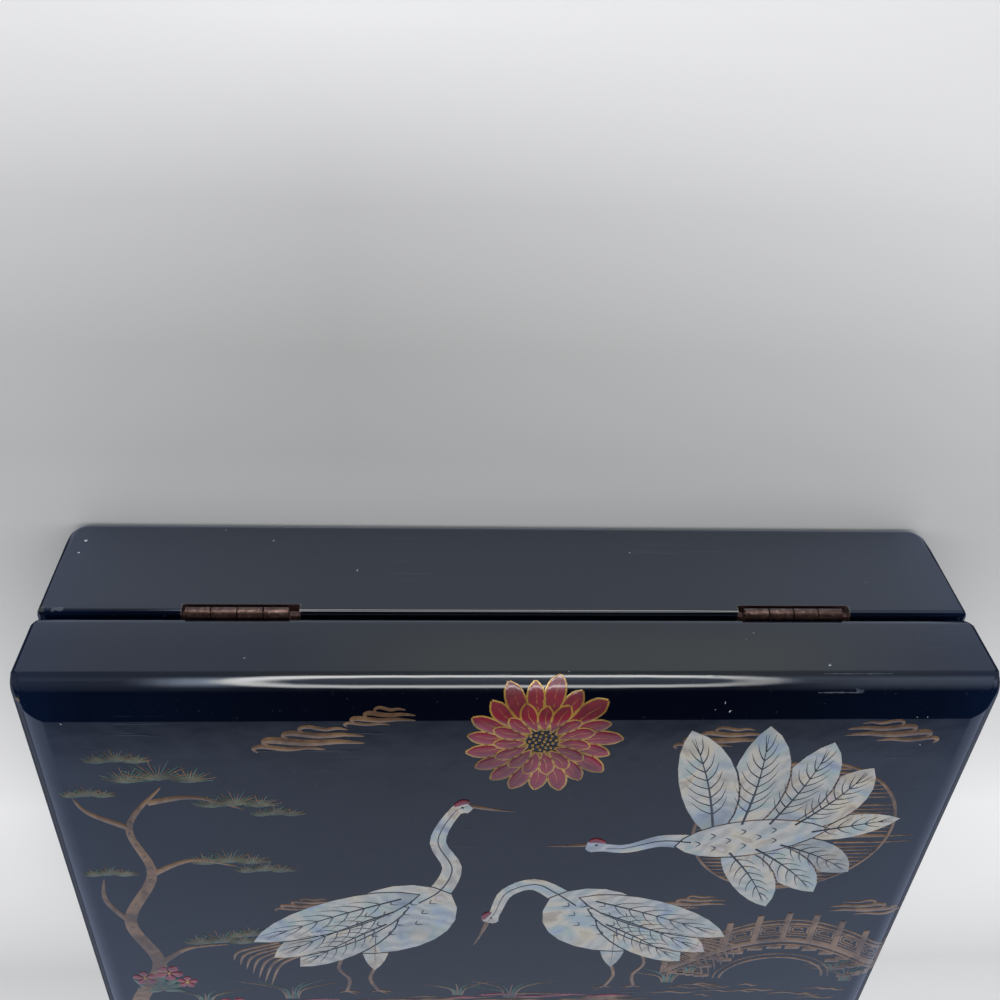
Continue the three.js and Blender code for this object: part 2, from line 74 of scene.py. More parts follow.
# The hinges
HINGE_AXIS = Vector((0, 82.15 * MM, BASE_HIGH.z + 0.15 * MM))
HINGE_CENTRES = {"left": -70.0 * MM, "right": 72.6 * MM}
HINGE_LENGTH = 26 * MM
KNUCKLES = 4
KNUCKLE_RADIUS = 1.5 * MM
KNUCKLE_GAP = 0.25 * MM
PIN_RADIUS = 0.5 * MM
PIN_BORE = 0.75 * MM
LEAF_THICKNESS = 0.8 * MM
LEAF_INNER_Y = 75.6 * MM
LEAF_OUTER_Y = 80.4 * MM
SCREW_Y = 78.125 * MM
SCREW_OFFSETS = (-7.75 * MM, 7.75 * MM)
SCREW_HEAD = 1.68 * MM
SCREW_HEAD_HEIGHT = 0.75 * MM
MORTISE_CLEARANCE = 0.35 * MM
MORTISE_LEFT_CLEARANCE = 1.1 * MM
MORTISE_RIGHT_CLEARANCE = 2.4 * MM
BARREL_RECESS = 1.4 * MM
WEAR_UP_THE_LID = 1.2 * MM
WEAR_FRONT_Y = 75 * MM
KNUCKLE_SOFTENING = 0.12 * MM
LEAF_SOFTENING = 0.07 * MM
PIN_END_ROUNDING = 0.25 * MM
COUNTERSINK_PAST = 0.3 * MM

# The velvet goods and the mirror
WALL_LINING_ROUNDING = 0.7 * MM
DIVIDER_ROUNDING = 1.6 * MM
LID_BOARD_ROUNDING = 0.6 * MM
PAD_CUTS = 90
PAD_CROWN = 1.5 * MM
PAD_RIPPLE = 0.25 * MM
ROLL_FOOT_ROUNDING = 1.2 * MM
ROLL_SLICES = 30
ROLL_DRAWN_IN = 0.14
ROLL_END_LENGTH = 2.2 * MM
ROLL_LUMPS = 0.02
MIRROR_BEVEL_WIDTH = 9 * MM
MIRROR_BEVEL_DEPTH = 0.9 * MM

# How far a cutter reaches past what it cuts
PAST = 2 * MM
TINY = 1e-5


# Making and shaping


def let_go():
    bpy.ops.object.select_all(action="DESELECT")


def hold(piece):
    let_go()
    piece.select_set(True)
    bpy.context.view_layer.objects.active = piece


def named(name):
    """Settles the place and size of the piece just made, and names it."""
    piece = bpy.context.object
    bpy.ops.object.transform_apply(location=True, rotation=True, scale=True)
    piece.name = name
    piece.data.name = name
    return piece


def block(name, low, high):
    let_go()
    low, high = Vector(low), Vector(high)
    bpy.ops.mesh.primitive_cube_add(size=1, location=(low + high) / 2, scale=high - low)
    return named(name)


def rod(name, centre, radius, length, sides=40):
    """A round bar along X."""
    let_go()
    bpy.ops.mesh.primitive_cylinder_add(
        vertices=sides, radius=radius, depth=length, location=centre, rotation=(0, math.pi / 2, 0)
    )
    return named(name)


def copied(piece, name, move):
    """A copy with a mesh of its own, moved by so much."""
    hold(piece)
    bpy.ops.object.duplicate(linked=False)
    bpy.context.object.location = move
    return named(name)


def shaped(piece, kind, **settings):
    """Adds a modifier and applies it at once."""
    hold(piece)
    modifier = piece.modifiers.new(kind, kind)
    for setting, value in settings.items():
        setattr(modifier, setting, value)
    bpy.ops.object.modifier_apply(modifier=modifier.name)
    return piece


def cut(piece, cutter):
    shaped(piece, "BOOLEAN", operation="DIFFERENCE", object=cutter, solver="EXACT")
    bpy.data.objects.remove(cutter)
    return piece


def joined(piece, addition):
    """One solid of two that overlap."""
    shaped(piece, "BOOLEAN", operation="UNION", object=addition, solver="EXACT")
    bpy.data.objects.remove(addition)
    return piece


def rounded(piece, radius_of, segments, clamp=False):
    """Gives every edge its share of the widest rounding, and rounds them all at once."""
    radii = []
    for edge in piece.data.edges:
        a, b = (piece.data.vertices[i].co for i in edge.vertices)
        radii.append(radius_of(a, b))
    widest = max(radii)
    attributes = piece.data.attributes
    weights = attributes.get("bevel_weight_edge") or attributes.new("bevel_weight_edge", "FLOAT", "EDGE")
    weights.data.foreach_set("value", [radius / widest for radius in radii])
    return shaped(
        piece, "BEVEL", width=widest, segments=segments, limit_method="WEIGHT", use_clamp_overlap=clamp
    )


def softened(piece, width, segments):
    """Rounds the sharp edges, and leaves the shallow ones of round faces."""
    return shaped(
        piece, "BEVEL", width=width, segments=segments, limit_method="ANGLE", angle_limit=math.radians(40)
    )


def pick(piece, kind, test):
    """Enters edit mode with the faces or edges selected whose middle and normal, or ends, pass the test."""
    hold(piece)
    bpy.ops.object.mode_set(mode="EDIT")
    bpy.ops.mesh.select_mode(type=kind)
    bpy.ops.mesh.select_all(action="DESELECT")
    mesh = bmesh.from_edit_mesh(piece.data)
    if kind == "FACE":
        for face in mesh.faces:
            face.select_set(test(face.calc_center_median(), face.normal))
    else:
        for edge in mesh.edges:
            edge.select_set(test(edge.verts[0].co, edge.verts[1].co))
    mesh.select_flush_mode()
    bmesh.update_edit_mesh(piece.data)


def put_down():
    bpy.ops.object.mode_set(mode="OBJECT")


def smoothed(piece, degrees=32):
    """Smooth shading across shallow edges, with the flat faces kept flat."""
    hold(piece)
    bpy.ops.object.shade_smooth_by_angle(angle=math.radians(degrees))
    return shaped(piece, "WEIGHTED_NORMAL", mode="FACE_AREA", weight=100, keep_sharp=True)


def coat(piece, finish):
    piece.data.materials.clear()
    piece.data.materials.append(finish)


def dress(piece, body, finish, slot, *nodes):
    """Gives a new piece its finish and its body, and hides the nodes that it replaces. The slot is not used.
    """
    coat(piece, finish)
    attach(piece, body)
    if nodes:
        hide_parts(*nodes)
    return piece


# Finishes


def plug(socket, value):
    """Links an input to another node, or gives it a plain value."""
    if isinstance(value, bpy.types.NodeSocket):
        socket.id_data.links.new(value, socket)
    else:
        socket.default_value = value


def node_adder(tree):
    """A function that adds a node to a tree, with its settings and inputs."""

    def add(kind, inputs=(), **settings):
        node = tree.nodes.new("ShaderNode" + kind)
        for setting, value in settings.items():
            setattr(node, setting, value)
        for socket, value in dict(inputs).items():
            plug(node.inputs[socket], value)
        return node

    return add


def new_finish(name):
    """A material with only its shader and output, and functions that add nodes and feed the shader."""
    finish = bpy.data.materials.new(name)
    finish.use_nodes = True
    shader = finish.node_tree.nodes["Principled BSDF"]
    add = node_adder(finish.node_tree)

    def feed(socket, value):
        plug(shader.inputs[socket], value)

    place = add("TexCoord").outputs["Object"]
    return finish, add, feed, place


def blended(add, share, low, high):
    """A colour between two others, by a share from 0 to 1."""
    node = add("Mix", data_type="RGBA")
    for socket, value in ((0, share), (6, low), (7, high)):
        plug(node.inputs[socket], value)
    return node.outputs[2]


def stepped(add, value, low, high, to_low=0.0, to_high=1.0):
    """A value mapped smoothly from one range to another."""
    node = add(
        "MapRange",
        {"Value": value, "From Min": low, "From Max": high, "To Min": to_low, "To Max": to_high},
        interpolation_type="SMOOTHSTEP",
    )
    return node.outputs["Result"]


def math_of(add, operation, *values):
    return add("Math", dict(enumerate(values)), operation=operation).outputs[0]


def plus(add, first, second):
    return math_of(add, "ADD", first, second)


def minus(add, first, second):
    return math_of(add, "SUBTRACT", first, second)


def times(add, first, second):
    return math_of(add, "MULTIPLY", first, second)


def larger(add, first, second):
    return math_of(add, "MAXIMUM", first, second)


def unsigned(add, value):
    return math_of(add, "ABSOLUTE", value)


def noise_of(add, place, scale, detail=4.0, roughness=0.5, distortion=0.0):
    look = {"Scale": scale, "Detail": detail, "Roughness": roughness, "Distortion": distortion}
    return add("TexNoise", {"Vector": place, **look}).outputs["Fac"]


def bumped(add, height, strength, distance, under=None):
    """The bumps of a surface, on top of those of another set of bumps."""
    inputs = {"Strength": strength, "Distance": distance, "Height": height}
    if under is not None:
        inputs["Normal"] = under
    return add("Bump", inputs).outputs["Normal"]


def ramp_of(add, value, stops):
    """A colour read off a row of stops by a value from 0 to 1."""
    node = add("ValToRGB", {"Fac": value})
    row = node.color_ramp.elements
    row.remove(row[1])
    row[0].position, row[0].color = stops[0]
    for position, colour in stops[1:]:
        row.new(position).color = colour
    return node.outputs["Color"]


def rgb(red, green, blue):
    return (red, green, blue, 1.0)


def far_from_box(add, where, centre, half):
    """How far a point lies outside a box given in millimetres, or below zero inside it."""
    furthest = None
    for axis, middle, reach in zip("XYZ", centre, half):
        past = minus(add, unsigned(add, minus(add, where[axis], middle * MM)), reach * MM)
        furthest = past if furthest is None else larger(add, furthest, past)
    return furthest


def far_from_recesses(add, where):
    """How far a point lies outside the two hinge recesses, seen from the back, in all and past their ends."""
    lefts = [centre - HINGE_LENGTH / 2 - MORTISE_LEFT_CLEARANCE for centre in HINGE_CENTRES.values()]
    length = HINGE_LENGTH + MORTISE_LEFT_CLEARANCE + MORTISE_RIGHT_CLEARANCE
    middle = (lefts[0] + lefts[1] + length) / 2
    aside = unsigned(add, minus(add, where["X"], middle))
    off = unsigned(add, minus(add, aside, (lefts[1] - lefts[0]) / 2))
    past_end = minus(add, off, length / 2)
    past_foot = minus(add, HINGE_AXIS.z - KNUCKLE_RADIUS - BARREL_RECESS, where["Z"])
    past_head = minus(add, where["Z"], LID_LOW.z + WEAR_UP_THE_LID)
    return larger(add, past_end, larger(add, past_foot, past_head)), past_end


def flecked(add, place, flecks):
    """Small ragged flecks at given places, each with its radius, in millimetres."""
    wobble = add("TexNoise", {"Vector": place, "Scale": 1700, "Detail": 3}).outputs["Color"]
    wobble = add("VectorMath", {0: wobble, 1: (0.5, 0.5, 0.5)}, operation="SUBTRACT").outputs[0]
    wobble = add("VectorMath", {0: wobble, "Scale": 1.3 * MM}, operation="SCALE").outputs[0]
    place = add("VectorMath", {0: place, 1: wobble}, operation="ADD").outputs[0]
    nearest = None
    for spot, radius in flecks:
        away = add("VectorMath", {0: place, 1: Vector(spot) * MM}, operation="DISTANCE").outputs["Value"]
        fleck = stepped(add, away, radius * MM * 0.55, radius * MM, 1.0, 0.0)
        nearest = fleck if nearest is None else larger(add, nearest, fleck)
    return nearest


# Where pale flecks sit in the lacquer, with their radii
FLECKS = (
    ((-114.4, 82.5, 8.2), 0.42), ((-115.0, 82.5, 13.3), 0.38), ((-77.9, 82.5, 3.4), 0.24),
    ((-64.2, 82.5, 7.8), 0.22), ((-65.9, 82.5, 52.5), 0.24), ((77.1, 82.5, 55.0), 0.34),
    ((58.2, 82.5, 46.0), 0.22), ((60.5, 82.5, 43.6), 0.2), ((97.8, 74.7, 65.0), 0.24),
    ((100.4, 74.6, 65.0), 0.2), ((101.4, 64.4, 65.0), 0.26), ((-107.7, 73.4, 65.0), 0.3),
    ((-41.0, 82.5, 20.0), 0.2), ((33.0, 82.5, 12.0), 0.2), ((12.0, 82.5, 57.0), 0.18),
    ((96.0, 82.5, 24.0), 0.2), ((49.8, 78.5, 63.7), 0.3), ((50.9, 76.6, 64.6), 0.26),
    ((47.4, 76.9, 64.5), 0.2),
)

# Worn spots, each with its centre, half its size, the tone that shows and how strongly
WORN_SPOTS = {
    "notch in the rim": ((-119.2, 83, 35.0), (1.2, 3, 0.9), rgb(0.05, 0.055, 0.045), 0.7),
    "graze beside it": ((-114.6, 83, 35.2), (1.3, 3, 0.35), rgb(0.1, 0.11, 0.125), 0.6),
    "rub on the lid": ((83.2, 80, 61.8), (0.9, 4, 0.3), rgb(0.07, 0.08, 0.11), 0.5),
    "chip at the lid's corner": ((-118.2, 80.6, 63.6), (1.6, 1.9, 1.5), rgb(0.12, 0.1, 0.06), 0.85),
    "sliver below it": ((-119.6, 82.3, 60.5), (0.7, 0.5, 2.0), rgb(0.42, 0.4, 0.36), 0.8),
    "nick in the base's corner": ((120, 82.4, 17.4), (0.5, 0.6, 0.7), rgb(0.14, 0.1, 0.07), 0.9),
    "nick near the rim": ((120, 82.4, 29.6), (0.5, 0.6, 0.5), rgb(0.14, 0.1, 0.07), 0.9),
}
LONG_SCRATCHES = (((83.4, 80, 57.8), (8.6, 4, 0.1)), ((77.6, 80, 62.1), (5, 4, 0.1)))


def worn_at_hinges(add, where, ragged, roughly, colour):
    """The lacquer's colour with a rubbed line round each hinge recess and bare board inside it."""
    recess, past_ends = far_from_recesses(add, where)
    near_back = stepped(add, where["Y"], WEAR_FRONT_Y, WEAR_FRONT_Y + 0.2 * MM)
    from_edge = unsigned(add, plus(add, recess, times(add, roughly, 0.6)))
    rubbed = times(add, stepped(add, from_edge, 0.05 * MM, 0.36 * MM, 0.8, 0.0), near_back)
    at_ends = stepped(add, past_ends, -0.7 * MM, -0.1 * MM)
    rubbed_tone = blended(add, at_ends, rgb(0.04, 0.016, 0.013), rgb(0.1, 0.078, 0.066))
    colour = blended(add, rubbed, colour, rubbed_tone)
    off_face = stepped(add, where["Y"], BASE_HIGH.y - 0.08 * MM, BASE_HIGH.y - 0.04 * MM, 1.0, 0.0)
    inside = times(add, stepped(add, recess, -0.12 * MM, -0.02 * MM, 1.0, 0.0), near_back)
    inside = times(add, inside, off_face)
    bare = blended(add, stepped(add, ragged, 0.38, 0.62), rgb(0.045, 0.016, 0.012), rgb(0.115, 0.045, 0.034))
    return blended(add, inside, colour, bare), inside


def make_lacquer():
    """Blue-black gloss lacquer: softly waved, smudged, flecked, scratched and worn at its edges, with painted
    shade in the middle and painted sheen towards the ends.
    """
    finish, add, feed, place = new_finish("blue_black_lacquer")
    where = add("SeparateXYZ", {"Vector": place}).outputs
    cloud = noise_of(add, place, 22, 3)
    smudge = noise_of(add, place, 60, 6, 0.62, 0.6)
    dust = noise_of(add, place, 1500, 2)
    ragged = noise_of(add, place, 750, 4, 0.6)
    roughly = times(add, minus(add, ragged, 0.5), 2.4 * MM)

    # Painted shade and sheen: the lacquer is darker in the middle and bluer towards the ends, bluest on the
    # last 20 mm of each end.
    deep = blended(add, cloud, rgb(0.0006, 0.001, 0.0032), rgb(0.0011, 0.0017, 0.0052))
    blue = blended(add, cloud, rgb(0.0009, 0.0026, 0.0085), rgb(0.0014, 0.0036, 0.0115))
    from_middle = unsigned(add, where["X"])
    colour = blended(add, stepped(add, from_middle, 0.035, 0.115), deep, blue)
    colour = blended(add, stepped(add, from_middle, 0.1, 0.119), colour, rgb(0.0019, 0.0052, 0.018))
    speck = stepped(add, dust, 0.735, 0.78)
    colour = blended(add, times(add, speck, 0.12), colour, rgb(0.32, 0.31, 0.29))
    colour = blended(add, flecked(add, place, FLECKS), colour, rgb(0.5, 0.52, 0.54))

    streaks = add("Mapping", {"Vector": place, "Scale": (30, 900, 900), "Rotation": (0, 0, 0.05)})
    hairline = stepped(add, noise_of(add, streaks.outputs["Vector"], 1, 2), 0.655, 0.7)
    scratch = times(add, hairline, stepped(add, noise_of(add, place, 34, 2), 0.56, 0.66))
    colour = blended(add, times(add, scratch, 0.035), colour, rgb(0.3, 0.32, 0.35))

    colour, inside = worn_at_hinges(add, where, ragged, roughly, colour)
    for centre, half, tone, weight in WORN_SPOTS.values():
        spot = plus(add, far_from_box(add, where, centre, half), roughly)
        colour = blended(add, stepped(add, spot, -0.15 * MM, 0.1 * MM, weight, 0.0), colour, tone)
    for centre, half in LONG_SCRATCHES:
        broken = plus(add, far_from_box(add, where, centre, half), times(add, roughly, 0.18))
        share = stepped(add, broken, -0.08 * MM, 0.06 * MM, 0.6, 0.0)
        colour = blended(add, share, colour, rgb(0.1, 0.11, 0.13))
    feed("Base Color", colour)

    gloss = stepped(add, smudge, 0.35, 0.75, 0.055, 0.13)
    gloss = plus(add, gloss, times(add, scratch, 0.07))
    feed("Roughness", larger(add, gloss, times(add, inside, 0.6)))
    waves = bumped(add, noise_of(add, place, 95, 2, 0.4), 0.05, 0.0012)
    feed("Normal", bumped(add, scratch, 0.25, 0.0001, waves))
    feed("IOR", 1.52)
    return finish


def make_velvet():
    """Dark red velvet: short pile brushed this way and that, with a pale sheen at its turns."""
    finish, add, feed, place = new_finish("dark_red_velvet")
    brushed = noise_of(add, place, 38, 4, 0.55, 1.2)
    pile = noise_of(add, place, 2600, 2)
    lie = stepped(add, brushed, 0.38, 0.66)
    deep = blended(add, lie, rgb(0.108, 0.0055, 0.0105), rgb(0.172, 0.009, 0.017))
    feed("Base Color", blended(add, times(add, pile, 0.35), deep, rgb(0.3, 0.02, 0.035)))
    feed("Roughness", 0.92)
    feed("Sheen Weight", 0.75)
    feed("Sheen Roughness", 0.38)
    feed("Sheen Tint", rgb(0.95, 0.32, 0.36))
    feed("Normal", bumped(add, pile, 0.5, 0.0003))
    return finish


def make_bronze():
    """Old brass hinges gone dark brown, mottled, rubbed bright in spots."""
    finish, add, feed, place = new_finish("aged_hinge_bronze")
    mottle = noise_of(add, place, 420, 5, 0.65, 0.8)
    rub = noise_of(add, place, 900, 3)
    dark = blended(add, stepped(add, mottle, 0.36, 0.64), rgb(0.048, 0.026, 0.02), rgb(0.1, 0.058, 0.046))
    bright = stepped(add, rub, 0.56, 0.7)
    feed("Base Color", blended(add, times(add, bright, 0.4), dark, rgb(0.3, 0.22, 0.18)))
    feed("Metallic", 0.85)
    feed("Roughness", stepped(add, mottle, 0.3, 0.7, 0.5, 0.36))
    feed("Normal", bumped(add, mottle, 0.2, 0.0002))
    return finish


def make_steel():
    """Dull plated screws with brown stains."""
    finish, add, feed, place = new_finish("dull_screw_steel")
    stain = noise_of(add, place, 700, 4, 0.6)
    brown = stepped(add, stain, 0.42, 0.68)
    feed("Base Color", blended(add, brown, rgb(0.36, 0.32, 0.27), rgb(0.16, 0.1, 0.07)))
    feed("Metallic", 0.9)
    feed("Roughness", stepped(add, stain, 0.3, 0.7, 0.32, 0.6))
    return finish


def make_mirror():
    """Silvered glass with a little haze."""
    finish, add, feed, place = new_finish("silvered_glass")
    haze = noise_of(add, place, 30, 4, 0.6)
    feed("Base Color", blended(add, haze, rgb(0.86, 0.89, 0.89), rgb(0.8, 0.84, 0.84)))
    feed("Metallic", 1.0)
    feed("Roughness", stepped(add, haze, 0.45, 0.8, 0.008, 0.06))
    return finish


LACQUER = make_lacquer()
VELVET = make_velvet()
BRONZE = make_bronze()
STEEL = make_steel()
MIRROR = make_mirror()


# The carcass


def rounded_shell(name, low, high, foot_rounding, head_rounding, foot_end_rounding=None):
    """A block with rounded edges, whose lower edges at its two ends can be rounder than the rest."""
    piece = block(name, low, high)
    middle = (low.z + high.z) / 2

    def runs_back(a, b):
        return abs(a.y - b.y) > TINY

    def foot_end_radius(a, b):
        return foot_end_rounding if runs_back(a, b) and a.z < middle else 0

    def radius_of(a, b):
        if max(a.z, b.z) > high.z - TINY and abs(a.z - b.z) < TINY:
            return head_rounding
        if foot_end_rounding and runs_back(a, b):
            return 0
        if max(a.z, b.z) > high.z - TINY:
            return CORNER_RADIUS
        return foot_rounding

    if foot_end_rounding:
        rounded(piece, foot_end_radius, CASE_SEGMENTS)
    return rounded(piece, radius_of, CASE_SEGMENTS)


def hollowed(piece, floor_z, mouth_z):
    """Cuts the cavity between two heights, with rounded corners and a softened mouth."""
    reach = PAST if mouth_z > floor_z else -PAST
    low_z, high_z = sorted((floor_z, mouth_z + reach))
    cutter = block("cavity", BASE_LOW + Vector((WALL, WALL, 0)), BASE_HIGH - Vector((WALL, WALL, 0)))
    for corner in cutter.data.vertices:
        corner.co.z = low_z if corner.co.z < BASE_HIGH.z / 2 else high_z
    rounded(cutter, lambda a, b: CAVITY_CORNER if abs(a.z - b.z) > TINY else 0, 6, clamp=True)
    cut(piece, cutter)
    inside = BASE_HIGH.x - WALL + TINY
    back = BASE_HIGH.y - WALL + TINY

    def at_mouth(a, b):
        level = abs(a.z - mouth_z) < TINY and abs(b.z - mouth_z) < TINY
        return level and max(abs(a.x), abs(b.x)) < inside and max(abs(a.y), abs(b.y)) < back

    pick(piece, "EDGE", at_mouth)
    bpy.ops.mesh.bevel(offset=CAVITY_EDGE, segments=3, affect="EDGES")
    put_down()
    return piece


def mortised(piece, face_z, side):
    """Sinks a seat for each hinge's leaf and a groove for its knuckles, with a deeper recess in the base."""
    groove = KNUCKLE_RADIUS + MORTISE_CLEARANCE
    past_back = BASE_HIGH.y + PAST
    for centre in HINGE_CENTRES.values():
        low_x = centre - HINGE_LENGTH / 2 - MORTISE_LEFT_CLEARANCE
        high_x = centre + HINGE_LENGTH / 2 + MORTISE_RIGHT_CLEARANCE
        low_z, high_z = sorted((face_z - side * LEAF_THICKNESS, face_z + side * PAST))
        seat = ((low_x, LEAF_INNER_Y - MORTISE_CLEARANCE, low_z), (high_x, past_back, high_z))
        cut(piece, block("seat", *seat))
        middle = Vector(((low_x + high_x) / 2, HINGE_AXIS.y, HINGE_AXIS.z))
        cut(piece, rod("groove", middle, groove, high_x - low_x))
        if side > 0:
            low_z = HINGE_AXIS.z - KNUCKLE_RADIUS - BARREL_RECESS
            recess = ((low_x, HINGE_AXIS.y - groove, low_z), (high_x, past_back, face_z + PAST))
            cut(piece, block("recess", *recess))
    return piece


def make_carcass():
    base = rounded_shell(
        "base_case", BASE_LOW, BASE_HIGH, FOOT_ROUNDING, BASE_RIM_ROUNDING, FOOT_END_ROUNDING
    )
    hollowed(base, BASE_FLOOR, BASE_HIGH.z)
    mortised(base, BASE_HIGH.z, 1)
    dress(smoothed(base), "base", LACQUER, "lacquer", "base_shell")
    lid = rounded_shell("lid_case", LID_LOW, LID_HIGH, LID_RIM_ROUNDING, TOP_ROUNDING)
    hollowed(lid, LID_HIGH.z - LID_PANEL, LID_LOW.z)
    mortised(lid, LID_LOW.z, -1)
    dress(smoothed(lid), "lid", LACQUER, "lacquer", "lid_shell")


# The hinges


def make_knuckle(low_x, high_x):
    centre = Vector(((low_x + high_x) / 2, HINGE_AXIS.y, HINGE_AXIS.z))
    piece = rod("knuckle", centre, KNUCKLE_RADIUS, high_x - low_x)
    ends = (low_x, high_x)
    pick(piece, "EDGE", lambda a, b: any(abs(a.x - x) < TINY and abs(b.x - x) < TINY for x in ends))
    bpy.ops.mesh.bevel(offset=KNUCKLE_SOFTENING, segments=3, affect="EDGES")
    put_down()
    return piece


def dress_hinges(left, name, node, body):
    """Dresses a piece of the left hinge and its copy in the right one."""
    across = HINGE_CENTRES["right"] - HINGE_CENTRES["left"]
    right = copied(left, f"right_{name}", (across, 0, 0))
    dress(smoothed(left), body, BRONZE, "hinge_bronze", f"left_{node}")
    dress(smoothed(right), body, BRONZE, "hinge_bronze", f"right_{node}")


def make_leaves(body, face_z, side, first_knuckle):
    """A leaf with every second knuckle, bored for the pin and countersunk for two screws."""
    centre = HINGE_CENTRES["left"]
    start = centre - HINGE_LENGTH / 2
    low_z, high_z = sorted((face_z - side * LEAF_THICKNESS, face_z))
    leaf_box = ((start, LEAF_INNER_Y, low_z), (start + HINGE_LENGTH, LEAF_OUTER_Y, high_z))
    leaf = block(f"left_{body}_hinge_leaf", *leaf_box)
    pitch = HINGE_LENGTH / KNUCKLES
    for i in range(first_knuckle, KNUCKLES, 2):
        low_x = start + i * pitch + KNUCKLE_GAP / 2
        high_x = start + (i + 1) * pitch - KNUCKLE_GAP / 2
        tongue = ((low_x, LEAF_OUTER_Y - LEAF_THICKNESS, low_z), (high_x, HINGE_AXIS.y, high_z))
        joined(leaf, block("tongue", *tongue))
        joined(leaf, make_knuckle(low_x, high_x))
    bore = rod("bore", Vector((centre, 0, 0)) + HINGE_AXIS, PIN_BORE, HINGE_LENGTH + 2 * PAST, 32)
    cut(leaf, bore)
    for offset in SCREW_OFFSETS:
        let_go()
        bpy.ops.mesh.primitive_cone_add(
            vertices=32,
            radius1=SCREW_HEAD,
            radius2=SCREW_HEAD - SCREW_HEAD_HEIGHT,
            depth=SCREW_HEAD_HEIGHT + COUNTERSINK_PAST,
            location=(centre + offset, SCREW_Y, face_z - side * SCREW_HEAD_HEIGHT / 2),
            rotation=(math.pi if side > 0 else 0, 0, 0),
        )
        cut(leaf, named("countersink"))
    softened(leaf, LEAF_SOFTENING, 2)
    dress_hinges(leaf, f"{body}_hinge_leaf", f"hinge_{body}_leaf", body)


def make_pins():
    centre = Vector((HINGE_CENTRES["left"], 0, 0)) + HINGE_AXIS
    pin = rod("left_hinge_pin_wire", centre, PIN_RADIUS, HINGE_LENGTH, 32)
    softened(pin, PIN_END_ROUNDING, 4)
    dress_hinges(pin, "hinge_pin_wire", "hinge_pin", "base")


def make_hinges():
    make_leaves("base", BASE_HIGH.z, 1, 0)
    make_leaves("lid", LID_LOW.z, -1, 1)
    make_pins()
    for name, node in NODES.items():
        if "screw" in name:
            coat(node, STEEL)


# The velvet lining


def velvet_board(name, node, rounding, body="base", segments=5):
    """A thin board wrapped in velvet, its edges rounded by the cloth."""
    piece = block(name, *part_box(node))
    shaped(piece, "BEVEL", width=rounding, segments=segments, limit_method="NONE")
    return dress(smoothed(piece, 60), body, VELVET, "velvet", node)


def make_floor_pad():
    """The padded floor, crowned a little within each compartment."""
    low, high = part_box("base_floor_pad")
    piece = block("crowned_floor_pad", low, high)
    pick(piece, "FACE", lambda middle, normal: normal.z > 0.9)
    bpy.ops.mesh.subdivide(number_cuts=PAD_CUTS)
    put_down()
    rooms = [(Vector(room_low), Vector(room_high)) for room_low, room_high in room_boxes()]
    for corner in piece.data.vertices:
        if corner.co.z < high.z - TINY:
            continue
        for room_low, room_high in rooms:
            across = (corner.co.x - room_low.x) / (room_high.x - room_low.x)
            back = (corner.co.y - room_low.y) / (room_high.y - room_low.y)
            if 0 < across < 1 and 0 < back < 1:
                rise = (16 * across * (1 - across) * back * (1 - back)) ** 0.35
                ripple = noise.noise(corner.co * 45) * PAD_RIPPLE
                corner.co.z += PAD_CROWN * rise + ripple * rise
    smoothed(piece, 60)
    dress(piece, "base", VELVET, "velvet", "base_floor_pad")


def room_boxes():
    """The compartments over the floor pad, as the record's openings give them."""
    openings = frame["record"]["physics"]["openings"]
    return [opening["box_m"] for opening in openings if opening["name"] not in ("ring_tray", "lid_recess")]


def stuff_bar(piece, node):
    """Draws a bar in at its ends and makes it a little uneven."""
    low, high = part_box(node)
    middle = (low + high) / 2
    for corner in piece.data.vertices:
        from_end = min(corner.co.x - low.x, high.x - corner.co.x)
        draw_in = 1 - ROLL_DRAWN_IN * math.exp(-from_end / ROLL_END_LENGTH)
        lump = 1 + ROLL_LUMPS * noise.noise(corner.co * 60)
        corner.co.y = middle.y + (corner.co.y - middle.y) * draw_in * lump
        corner.co.z = low.z + (corner.co.z - low.z) * draw_in * lump
    dress(smoothed(piece, 60), "base", VELVET, "velvet", node)


def make_ring_rolls():
    """Five stuffed velvet bars, round on top. One is rounded and sliced, and the others are its copies."""
    low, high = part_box("ring_roll_1")
    radius = (high.y - low.y) / 2
    bar = block("ring_bar_1", low, high)

    def radius_of(a, b):
        on_top = a.z > high.z - TINY and b.z > high.z - TINY
        lengthwise = abs(a.y - b.y) < TINY and abs(a.z - b.z) < TINY
        return radius * 0.98 if on_top and lengthwise else ROLL_FOOT_ROUNDING

    rounded(bar, radius_of, 9, clamp=True)
    hold(bar)
    bpy.ops.object.mode_set(mode="EDIT")
    for i in range(1, ROLL_SLICES):
        x = low.x + (high.x - low.x) * i / ROLL_SLICES
        bpy.ops.mesh.select_all(action="SELECT")
        bpy.ops.mesh.bisect(plane_co=(x, 0, 0), plane_no=(1, 0, 0))
    put_down()
    bars = {"ring_roll_1": bar}
    for i in range(2, 6):
        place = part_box(f"ring_roll_{i}")[0]
        bars[f"ring_roll_{i}"] = copied(bar, f"ring_bar_{i}", place - low)
    for node, piece in bars.items():
        stuff_bar(piece, node)


def make_lining():
    for side in ("front", "back", "left", "right"):
        velvet_board(f"{side}_velvet_wall", f"{side}_lining", WALL_LINING_ROUNDING)
    for name, node in (
        ("long_velvet_divider", "long_divider"),
        ("rear_left_velvet_divider", "rear_divider_1"),
        ("rear_right_velvet_divider", "rear_divider_2"),
        ("front_velvet_divider", "front_divider"),
    ):
        velvet_board(name, node, DIVIDER_ROUNDING)
    make_floor_pad()
    make_ring_rolls()


# The mirror in the lid


